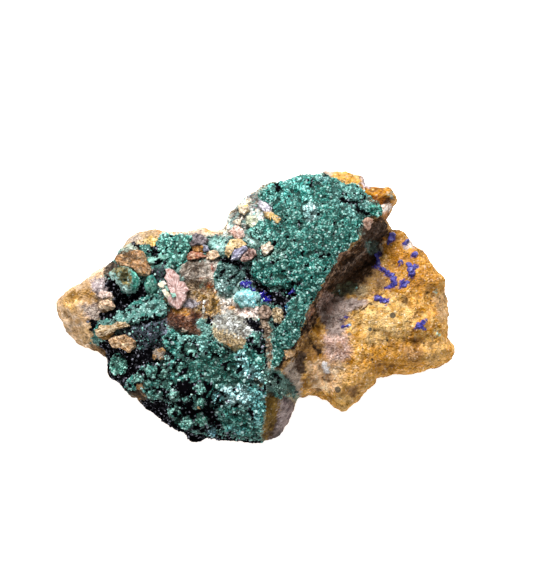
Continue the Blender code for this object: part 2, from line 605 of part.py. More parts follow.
def azurite_group(name, spec, ground, parts, helpers, seed):
    """Azurite crystals grown together in a row: one solid, standing square to the rock."""
    x, y, long, short, turn, height, count = spec
    dice = random.Random(SEED * 1000 + seed)
    joined = bmesh.new()
    last = bpy.data.meshes.new(name + "_last")
    spacing = long / ((count - 1) / 2 + 0.75)
    for i in range(count):
        place = Vector(((i - (count - 1) / 2) * spacing, dice.uniform(-0.15, 0.15) * short, 0))
        blade = azurite_crystal(dice, 0.75 * spacing, short * dice.uniform(0.85, 1.1), height)
        blade.transform(Matrix.Rotation(math.radians(turn), 4, "Z") @ Matrix.Translation(place * MM))
        if i == count - 1:
            blade.to_mesh(last)
        else:
            spare = bpy.data.meshes.new("spare")
            blade.to_mesh(spare)
            joined.from_mesh(spare)
            bpy.data.meshes.remove(spare)
        blade.free()
    mesh = bpy.data.meshes.new(name)
    joined.to_mesh(mesh)
    joined.free()
    lie, normal = ground.at(x, y)
    stand = Vector((0, 0, 1)).rotation_difference((normal + Vector((0, 0, 1.5))).normalized())
    place = Matrix.Translation(lie * MM) @ stand.to_matrix().to_4x4()
    group = add(name, mesh, parts)
    other = add(name + "_last", last, helpers)
    hide(other)
    union = boolean(group, "UNION", other)
    union.use_self = True
    fused = baked(group)
    fused.transform(place)
    return group


def hull_bed(obj, where):
    """What is cut out of the rock for a lump or a group of crystals: its convex hull, grown by the gap."""
    hull = bmesh.new()
    for vertex in obj.data.vertices:
        hull.verts.new(vertex.co)
    bmesh.ops.remove_doubles(hull, verts=hull.verts, dist=0.3 * MM)
    bmesh.ops.convex_hull(hull, input=hull.verts)
    bmesh.ops.delete(hull, geom=[v for v in hull.verts if not v.link_faces], context="VERTS")
    bmesh.ops.recalc_face_normals(hull, faces=hull.faces)
    mesh = bpy.data.meshes.new(obj.name + "_bed")
    hull.to_mesh(mesh)
    hull.free()
    grown = add(obj.name + "_bed", mesh, where)
    displace(grown, BED_GAP)
    baked(grown)
    hide(grown)


def settle(parts):
    """Moves the whole so that the middle of its foot is the origin."""
    every = np.concatenate([points_of(obj.data) for obj in parts.objects])
    middle = (every.min(axis=0) + every.max(axis=0)) / 2
    for obj in parts.objects:
        obj.data.transform(Matrix.Translation(Vector((-middle[0], -middle[1], 0)) * MM))


def main():
    """Builds the specimen."""
    clear_scene()
    parts = collection("azurite_and_malachite_specimen")
    helpers = collection("helpers")
    beds = collection("beds")
    looks = {
        "limonite": material("limonite_rock", LIMONITE),
        "malachite": material("malachite", MALACHITE),
        "pale": material("pale_malachite", PALE_MALACHITE),
        "azurite": material("azurite", AZURITE_BLUE),
        "pink": material("pink_feldspar", PINK_FELDSPAR),
    }
    rock = host_rock(parts, helpers)
    rock.data.materials.append(looks["limonite"])
    ground = Ground(rock)
    for seed, (name, spec) in enumerate(CRUSTS.items()):
        piece = crust(name, spec, ground, parts, helpers, beds, seed)
        piece.data.materials.append(looks[name.split("_")[0]])
    for seed, (name, spec) in enumerate(AZURITE.items()):
        piece = azurite_group(name, spec, ground, parts, helpers, seed)
        piece.data.materials.append(looks["azurite"])
        hull_bed(piece, beds)
    boolean(rock, "DIFFERENCE", beds)
    baked(rock)
    settle(parts)


main()
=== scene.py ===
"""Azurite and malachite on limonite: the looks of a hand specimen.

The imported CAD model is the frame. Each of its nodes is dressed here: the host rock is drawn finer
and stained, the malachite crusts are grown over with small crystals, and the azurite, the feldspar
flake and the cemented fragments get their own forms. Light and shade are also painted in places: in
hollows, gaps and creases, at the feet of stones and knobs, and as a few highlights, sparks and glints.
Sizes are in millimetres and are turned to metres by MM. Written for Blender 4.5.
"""

from __future__ import annotations

import json
import logging
import math
import random
from dataclasses import dataclass, field
from enum import Enum
from functools import partial
from typing import Any, Iterable

import bmesh
import bpy
import numpy as np
from bmesh.types import BMesh, BMVert
from bpy.types import ID, Collection, Material, Mesh, Node, NodeSocket, NodeTree, Object
from mathutils import Matrix, Vector, noise
from mathutils.bvhtree import BVHTree

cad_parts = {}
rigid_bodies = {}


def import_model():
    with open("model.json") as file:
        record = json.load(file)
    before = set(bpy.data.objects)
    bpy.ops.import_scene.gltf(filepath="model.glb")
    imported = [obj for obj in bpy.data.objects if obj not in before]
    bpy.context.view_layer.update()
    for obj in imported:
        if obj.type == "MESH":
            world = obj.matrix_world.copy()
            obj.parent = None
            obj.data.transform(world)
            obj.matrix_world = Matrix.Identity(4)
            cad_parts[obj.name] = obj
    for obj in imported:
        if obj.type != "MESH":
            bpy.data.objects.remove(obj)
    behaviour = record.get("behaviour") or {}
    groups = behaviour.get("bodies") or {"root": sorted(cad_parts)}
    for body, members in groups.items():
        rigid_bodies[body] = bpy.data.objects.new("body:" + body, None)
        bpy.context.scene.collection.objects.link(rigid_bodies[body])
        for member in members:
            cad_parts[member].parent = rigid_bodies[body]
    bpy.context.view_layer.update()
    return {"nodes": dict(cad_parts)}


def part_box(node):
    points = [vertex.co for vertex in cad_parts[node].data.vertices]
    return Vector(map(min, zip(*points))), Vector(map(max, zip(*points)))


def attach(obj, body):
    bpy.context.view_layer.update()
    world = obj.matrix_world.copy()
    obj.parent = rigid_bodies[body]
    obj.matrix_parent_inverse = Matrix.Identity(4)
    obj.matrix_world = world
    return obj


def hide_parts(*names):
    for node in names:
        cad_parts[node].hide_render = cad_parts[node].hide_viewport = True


MM = 0.001
BODY = "root"
SEED = 11

PERLIN = "PERLIN_ORIGINAL"
CELLS = "VORONOI_F1"
WELD_DISTANCE = 0.002
SIGHT_START = 200.0
GOLDEN_ANGLE = 2.39996

Outline = tuple[tuple[float, float], ...]
Relief = tuple[tuple[float, float, str], ...]


# Small tools


def linear(tone: str) -> tuple[float, float, float]:
    """The linear colour of an sRGB hex tone."""
    shares = (int(tone[i : i + 2], 16) / 255 for i in (1, 3, 5))
    return tuple(s / 12.92 if s <= 0.04045 else ((s + 0.055) / 1.055) ** 2.4 for s in shares)


def rgba(tone: str) -> tuple[float, float, float, float]:
    """The linear colour of an sRGB hex tone, opaque."""
    return (*linear(tone), 1.0)


def per(size: float) -> float:
    """The scale of a texture whose pattern is this many millimetres across."""
    return 1.0 / (size * MM)


def add_node(tree: NodeTree, kind: str, inputs: Any = (), **settings: Any) -> Node:
    """Adds a node with its settings, values and links.

    Args:
        tree: the node tree.
        kind: the node's type name.
        inputs: values, sockets or nodes to link from, in the sockets' order or by socket name or number.
        **settings: the node's own properties.

    Returns:
        The new node.
    """
    made = tree.nodes.new(kind)
    for key, value in settings.items():
        setattr(made, key, value)
    connect(made, inputs)
    return made


def connect(made: Node, inputs: Any) -> None:
    """Sets a node's inputs.

    Args:
        made: the node.
        inputs: as for add_node; a node given as a value is linked from its first output in use.
    """
    for key, value in inputs.items() if isinstance(inputs, dict) else enumerate(inputs):
        if isinstance(value, Node):
            value = next(socket for socket in value.outputs if socket.enabled)
        if isinstance(value, NodeSocket):
            made.id_data.links.new(value, made.inputs[key])
        else:
            made.inputs[key].default_value = value


def smooth_step(t: np.ndarray) -> np.ndarray:
    """0 below 0, 1 above 1, and smooth between."""
    t = np.clip(t, 0.0, 1.0)
    return t * t * (3 - 2 * t)


def noise_at(points: np.ndarray, size: float, shift: float = 0.0, basis: str = PERLIN) -> np.ndarray:
    """Noise from about -1 to 1 at points in millimetres.

    Args:
        points: the points, one a row.
        size: how far apart the noise's lumps are.
        shift: moves the pattern, so that two noises of one size differ.
        basis: the kind of noise.

    Returns:
        One value for each point.
    """
    spots = ((points + shift) / size).tolist()
    return np.array([noise.noise(Vector(spot), noise_basis=basis) for spot in spots])


def rows_of(values: bpy.types.bpy_prop_collection, name: str, width: int) -> np.ndarray:
    """Reads one property of many items.

    Args:
        values: the items.
        name: the property's name.
        width: how many numbers it has.

    Returns:
        One row for each item.
    """
    flat = np.empty(len(values) * width, np.float32)
    values.foreach_get(name, flat)
    return flat.reshape(-1, width).astype(float)


def points_of(mesh: Mesh) -> np.ndarray:
    """The vertices, in millimetres."""
    return rows_of(mesh.vertices, "co", 3) / MM


def normals_of(mesh: Mesh) -> np.ndarray:
    """The vertices' normals."""
    return rows_of(mesh.vertex_normals, "vector", 3)


def coats_of(mesh: Mesh) -> np.ndarray:
    """The "coat" colours that a Painter stored, one for each vertex."""
    return rows_of(mesh.attributes["coat"].data, "color", 4)


def set_points(mesh: Mesh, points: np.ndarray) -> None:
    """Moves the vertices to places in millimetres."""
    mesh.vertices.foreach_set("co", (points * MM).astype(np.float32).ravel())
    mesh.update()


def store(mesh: Mesh, name: str, values: np.ndarray) -> None:
    """Keeps values for a mesh's vertices.

    Args:
        mesh: the mesh.
        name: the name that they are kept under.
        values: one number, or one colour of four numbers, for each vertex.
    """
    kind, part = ("FLOAT", "value") if values.ndim == 1 else ("FLOAT_COLOR", "color")
    made = mesh.attributes.get(name) or mesh.attributes.new(name, kind, "POINT")
    made.data.foreach_set(part, values.astype(np.float32).ravel())


def store_paint(mesh: Mesh, tones: np.ndarray) -> None:
    """Keeps a linear colour for each vertex as "paint"."""
    store(mesh, "paint", np.column_stack([tones, np.ones(len(tones))]))


def neighbours_mean(mesh: Mesh, points: np.ndarray, rounds: int) -> np.ndarray:
    """Evens out points over the edges of a mesh.

    Args:
        mesh: the mesh that the points belong to.
        points: one for each vertex.
        rounds: how often each moves halfway to the mean of its neighbours.

    Returns:
        The moved points.
    """
    ends = np.empty(len(mesh.edges) * 2, np.int32)
    mesh.edges.foreach_get("vertices", ends)
    a, b = ends.reshape(-1, 2).T
    count = np.maximum(np.bincount(np.concatenate([a, b]), minlength=len(points)), 1)[:, None]
    even = points.copy()
    for _ in range(rounds):
        total = [
            np.bincount(a, even[b, k], len(points)) + np.bincount(b, even[a, k], len(points))
            for k in range(even.shape[1])
        ]
        even += 0.5 * (np.stack(total, axis=1) / count - even)
    return even


def hollows(mesh: Mesh, rounds: int) -> np.ndarray:
    """How far each point lies below its surroundings, in millimetres; edges and tops are negative."""
    points = points_of(mesh)
    return ((neighbours_mean(mesh, points, rounds) - points) * normals_of(mesh)).sum(axis=1)


def roughened(mesh: Mesh, points: np.ndarray, relief: Relief, shift: float,
              anew: bool = False) -> np.ndarray:
    """Breaks up a mesh's surface by layers of noise along its normals.

    Args:
        mesh: the mesh.
        points: where its vertices are to start from.
        relief: the size, depth and kind of each layer.
        shift: moves the patterns.
        anew: whether each layer has normals of its own.

    Returns:
        The points that its vertices have now.
    """
    for size, depth, basis in relief:
        rise = noise_at(points, size, shift, basis)
        points = points + normals_of(mesh) * (depth * (rise - np.median(rise)))[:, None]
        if anew:
            set_points(mesh, points)
    set_points(mesh, points)
    return points


def new_object(name: str, data: ID) -> Object:
    """An object for a mesh, a light or a camera, in the scene."""
    made = bpy.data.objects.new(name, data)
    bpy.context.scene.collection.objects.link(made)
    return made


def applied(obj: Object) -> Mesh:
    """Makes an object's modifiers part of its mesh.

    Args:
        obj: the object, which loses its modifiers.

    Returns:
        The object's new mesh.
    """
    bpy.context.view_layer.update()
    graph = bpy.context.evaluated_depsgraph_get()
    mesh = bpy.data.meshes.new_from_object(obj.evaluated_get(graph), depsgraph=graph)
    obj.modifiers.clear()
    obj.data = mesh
    return mesh


def mesh_from(form: BMesh, name: str) -> Mesh:
    """Makes a mesh of a form.

    Args:
        form: the form, which is freed.
        name: the mesh's name.

    Returns:
        The mesh.
    """
    mesh = bpy.data.meshes.new(name)
    form.to_mesh(mesh)
    form.free()
    return mesh


def joined(meshes: Iterable[Mesh], name: str) -> Mesh:
    """Makes one mesh of several.

    Args:
        meshes: the meshes, in order.
        name: the new mesh's name.

    Returns:
        The mesh.
    """
    form = bmesh.new()
    for mesh in meshes:
        form.from_mesh(mesh)
    return mesh_from(form, name)


def welded(source: Mesh, grow: float = 0.0, drop: float = 0.0) -> Mesh:
    """Copies a CAD mesh and merges its double vertices.

    Args:
        source: the CAD mesh.
        grow: how far the copy grows along its normals, in millimetres.
        drop: how far it is lowered, in millimetres.

    Returns:
        The copy.
    """
    form = bmesh.new()
    form.from_mesh(source)
    bmesh.ops.remove_doubles(form, verts=form.verts, dist=WELD_DISTANCE * MM)
    mesh = mesh_from(form, source.name + "_copy")
    set_points(mesh, points_of(mesh) + grow * normals_of(mesh) - (0.0, 0.0, drop))
    return mesh


def even_mesh(name: str, meshes: Iterable[Mesh], voxel: float) -> Mesh:
    """Makes one closed mesh of even fineness round several closed ones.

    Args:
        name: the new mesh's name.
        meshes: closed meshes, which may overlap.
        voxel: the fineness in millimetres.

    Returns:
        The mesh.
    """
    helper = new_object(name + "_helper", joined(meshes, name))
    even = helper.modifiers.new("even", "REMESH")
    even.mode = "VOXEL"
    even.voxel_size = voxel * MM
    made = applied(helper)
    bpy.data.objects.remove(helper)
    made.name = name
    return made


def above_floor(mesh: Mesh) -> None:
    """Flattens what would reach below the board."""
    points = points_of(mesh)
    points[:, 2] = np.maximum(points[:, 2], 0.0)
    set_points(mesh, points)


def triangles_in(mesh: Mesh) -> int:
    """How many triangles a mesh has."""
    return sum(len(face.vertices) - 2 for face in mesh.polygons)


def give(piece: Object, slot: str, *nodes: str) -> None:
    """Hands a finished piece to the frame.

    Args:
        piece: the piece.
        slot: not used.
        *nodes: the CAD nodes that it stands for.
    """
    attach(piece, BODY)
    if nodes:
        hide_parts(*nodes)
    logging.info("%s: %d triangles", piece.name, triangles_in(piece.data))


# Where things show


@dataclass(frozen=True)
class PhotoPlan:
    """The photograph as a flat plan of the specimen, seen from one side and well above."""

    mm_per_pixel: float = 0.23
    elevation: float = math.radians(70.0)
    middle_px: tuple[float, float] = (255.5, 306.0)
    middle_y: float = 4.4
    size_px: tuple[int, int] = (533, 569)

    def towards_viewer(self) -> Vector:
        """The direction from the specimen to the camera."""
        return Vector((0.0, -math.cos(self.elevation), math.sin(self.elevation)))

    def pixels(self, points: np.ndarray) -> np.ndarray:
        """Finds where points show in the photograph.

        Args:
            points: places in millimetres, one a row.

        Returns:
            The pixel of each.
        """
        up = (points[:, 1] - self.middle_y) * math.sin(self.elevation)
        up = up + points[:, 2] * math.cos(self.elevation)
        across = self.middle_px[0] + points[:, 0] / self.mm_per_pixel
        return np.stack([across, self.middle_px[1] - up / self.mm_per_pixel], axis=1)

    def on_plane(self, px: float, py: float) -> Vector:
        """Finds where a pixel's sight line crosses the plan's own plane.

        Args:
            px: how far across the pixel is.
            py: how far down it is.

        Returns:
            The point in millimetres.
        """
        across = (px - self.middle_px[0]) * self.mm_per_pixel
        up = float(self.middle_px[1] - py) * self.mm_per_pixel
        upward = Vector((0.0, math.sin(self.elevation), math.cos(self.elevation)))
        return Vector((across, self.middle_y, 0.0)) + up * upward


PLAN = PhotoPlan()


@dataclass(frozen=True)
class Nudge:
    """A small push of the outline: the pixel, how many pixels across and down, and its reach."""

    at: tuple[float, float]
    by: tuple[float, float]
    reach: float


NUDGES = tuple(Nudge((px, py), (across, down), reach) for px, py, across, down, reach in (
    (176, 424, -3.2, 4.2, 11), (190, 436, -1.5, 3, 7), (200, 438, 0, 1, 9), (226, 439, 0, 6.2, 12),
    (293, 382, -4.5, 1, 8), (255, 440, 0, 3, 8), (345, 406, 1, 6, 9), (366, 390, 1.5, 1, 9),
    (380, 374, 3, 2, 8), (405, 372, 0, 2.5, 12), (307, 396, 0, 3.5, 9), (391, 199, 5.5, 0, 8),
    (383, 187, 0, 2, 6), (389, 221, -4.5, 0, 5), (403, 236, 4.5, -4.5, 9), (441, 276, 5.5, -1, 12),
    (451, 348, 3.5, 0, 8), (58, 308, -3, 0, 12), (103, 352, 1, 4, 9), (106, 366, 2, 0, 7),
    (130, 240, -2.5, -2.5, 10), (110, 258, 2, 2, 10), (250, 186, 2.5, 3, 10), (285, 175, 0.5, 3, 12),
    (309, 172, 0, 2, 10), (361, 178, 3.5, -1.5, 7), (226, 218, -2, -1, 7), (78, 288, 1.5, 2, 8),
    (114, 381, 1.5, -1, 8), (65, 331, 2.2, -1.6, 8), (58, 318, -2, 0, 6), (147, 246, 0.5, 4, 7),
    (363, 232, -5, 0.5, 9), (156, 255, 1.5, 4.5, 8),
))


def nudged(points: np.ndarray) -> np.ndarray:
    """Pushes points by all the nudges.

    Args:
        points: places in millimetres.

    Returns:
        The places after the pushes.
    """
    seen = PLAN.pixels(points)
    moved = points.copy()
    for nudge in NUDGES:
        share = np.exp(-(((seen - nudge.at) / nudge.reach) ** 2).sum(axis=1)) * PLAN.mm_per_pixel
        moved[:, 0] += share * nudge.by[0]
        moved[:, 1] -= share * nudge.by[1] / math.sin(PLAN.elevation)
    return moved


class Ground:
    """A surface to lay things on."""

    def __init__(self, mesh: Mesh) -> None:
        """Reads the surface once."""
        work = bmesh.new()
        work.from_mesh(mesh)
        self.tree = BVHTree.FromBMesh(work)
        work.free()

    def under(self, px: float, py: float) -> tuple[Vector, Vector]:
        """Looks for the surface behind a pixel.

        Args:
            px: how far across the pixel is.
            py: how far down it is.

        Returns:
            The point that shows there, in millimetres, and its normal.
        """
        away = PLAN.towards_viewer()
        start = PLAN.on_plane(px, py) + SIGHT_START * away
        hit, normal, _, _ = self.tree.ray_cast(start * MM, -away)
        if hit is None:
            hit, normal, _, _ = self.tree.find_nearest(PLAN.on_plane(px, py) * MM)
        return hit / MM, normal


# Stains and patches


class Coat(Enum):
    """What lies over the rock in a patch: how much goethite and how much malachite film."""

    BARE = (0.0, 0.0)
    BLACK = (1.0, 0.0)
    SPECKLED = (0.5, 0.66)
    MATRIX = (0.5, 0.7)
    GREEN = (0.0, 1.0)
    THIN_GREEN = (0.0, 0.5)
    PALE_MIX = (0.2, 0.48)
    KEEP = (-1.0, -1.0)


def spots(text: str) -> Outline:
    """Reads pixels from words such as 12,34."""
    return tuple(tuple(float(part) for part in word.split(",")) for word in text.split())


@dataclass(frozen=True)
class Patch:
    """A patch of one look: its sRGB hex tones and its outline in the photograph's pixels."""

    tones: str
    outline: str
    soft: float = 2.0
    share: float = 1.0
    coat: Coat = Coat.BARE
    cell: float = 1.6


def black(outline: str, tones: str = "#151416", soft: float = 2.0, share: float = 1.0) -> Patch:
    """A patch with a coat of goethite."""
    return Patch(tones, outline, soft, share, Coat.BLACK)


def blotches(points: np.ndarray, tones: str, cell: float, shift: float = 0.0) -> np.ndarray:
    """Blotches of several tones.

    Args:
        points: places in millimetres.
        tones: the sRGB hex tones, each beside those that it borders on.
        cell: how far apart the blotches are.
        shift: moves the pattern.

    Returns:
        A linear colour for each point.
    """
    table = np.array([linear(tone) for tone in tones.split()])
    if len(table) == 1:
        return np.repeat(table, len(points), axis=0)
    value = noise_at(points, cell, shift) + 0.4 * noise_at(points, cell * 0.4, shift)
    level = np.clip(0.5 + 1.1 * value, 0.0, 0.999) * (len(table) - 1)
    lower = level.astype(int)
    share = smooth_step((level - lower - 0.5) * 2.5 + 0.5)[:, None]
    return table[lower] * (1 - share) + table[lower + 1] * share


def inside_by(pixels: np.ndarray, outline: Outline) -> np.ndarray:
    """Measures how far places lie inside an outline.

    Args:
        pixels: the places, one a row.
        outline: the outline's corners.

    Returns:
        The distance to the outline for each place, in pixels; outside it is negative.
    """
    x, y = pixels[:, 0], pixels[:, 1]
    nearest = np.full(len(pixels), 1e9)
    odd = np.zeros(len(pixels), bool)
    for (ax, ay), (bx, by) in zip(outline, outline[1:] + outline[:1]):
        dx, dy = bx - ax, by - ay
        along = np.clip(((x - ax) * dx + (y - ay) * dy) / (dx * dx + dy * dy + 1e-9), 0, 1)
        nearest = np.minimum(nearest, np.hypot(x - ax - along * dx, y - ay - along * dy))
        if dy:
            odd ^= ((ay > y) != (by > y)) & (x < ax + (y - ay) * dx / dy)
    return np.where(odd, nearest, -nearest)


@dataclass(frozen=True)
class Painter:
    """Paints the patches on a mesh, by where each point shows in the photograph."""

    patches: tuple[Patch, ...]
    base: str
    base_cell: float = 6.0
    waver: float = 2.3
    black_share: float = 0.0
    black_size: float = 1.8
    rough_soft: float = 5.0

    def paint(self, mesh: Mesh) -> None:
        """Keeps the colour as "paint", and black, green and roughness as the channels of "coat".

        Args:
            mesh: the mesh to paint.
        """
        points, normals = points_of(mesh), normals_of(mesh)
        seen = PLAN.pixels(points)
        for axis in (0, 1):
            seen[:, axis] += self.waver * noise_at(points, 1.4, 31.0 * axis + 5)
            seen[:, axis] += 1.4 * self.waver * noise_at(points, 0.55, 17.0 * axis + 9)
        facing = smooth_step((normals @ np.array(PLAN.towards_viewer()) + 0.15) / 0.35)
        paint = blotches(points, self.base, self.base_cell)
        coat = np.zeros((len(points), 4))
        coat[:, 0] = smooth_step((noise_at(points, 9.0, 70.0) - 0.28) / 0.2) * (1 - facing)
        for number, patch in enumerate(self.patches):
            outline = spots(patch.outline)
            corners = np.array(outline)
            low, high = corners.min(axis=0) - patch.soft, corners.max(axis=0) + patch.soft
            near = np.flatnonzero(((seen > low) & (seen < high)).all(axis=1) & (facing > 0))
            if not len(near):
                continue
            share = smooth_step(0.5 + inside_by(seen[near], outline) / patch.soft)
            share = (share * patch.share * facing[near])[:, None]
            tones = blotches(points[near], patch.tones, patch.cell, 3.0 * number)
            paint[near] += share * (tones - paint[near])
            if patch.coat is not Coat.KEEP:
                coat[near, :2] += share * (np.array(patch.coat.value) - coat[near, :2])
        if self.black_share:
            level = noise_at(points, self.black_size, 55.0)
            level = level + 0.5 * noise_at(points, self.black_size * 0.4, 58.0)
            coat[:, 0] = np.maximum(coat[:, 0], smooth_step((level - 0.55 + self.black_share) / 0.2))
        for zone in ROUGH_ZONES:
            rough = smooth_step(0.5 + inside_by(seen, spots(zone)) / self.rough_soft) * facing
            coat[:, 2] = np.maximum(coat[:, 2], rough)
        coat[:, 2] *= 1 - smooth_step(0.5 + inside_by(seen, spots(TIP)) / 3)
        coat[:, 3] = 1.0
        store_paint(mesh, paint)
        store(mesh, "coat", coat)


ROCK_BASE = "#8c6b48 #b08850 #c39a60 #a5815a #7d6a5e"

HIGH_SIDE = (
    "100,262 118,246 130,244 160,233 222,234 226,216 240,198 262,188 330,176 362,188 372,204 360,234 345,248 "
    "330,262 315,285 305,312 292,345 280,362 268,380 266,394 264,450 205,452 176,444 146,412 124,394 102,364 "
    "92,345 90,320 100,300 98,280"
)

WALL = (
    "332,264 346,251 360,238 368,226 376,218 386,220 389,228 382,246 381,256 372,272 352,290 330,302 318,318 "
    "308,336 300,350 288,364 274,374 276,366 298,334 308,316 314,298 322,282"
)

ROUGH_ZONES = (HIGH_SIDE, WALL)

TIP = "360,184 372,183 388,183 401,192 402,206 394,214 386,216 380,212 384,206 376,203 366,199"

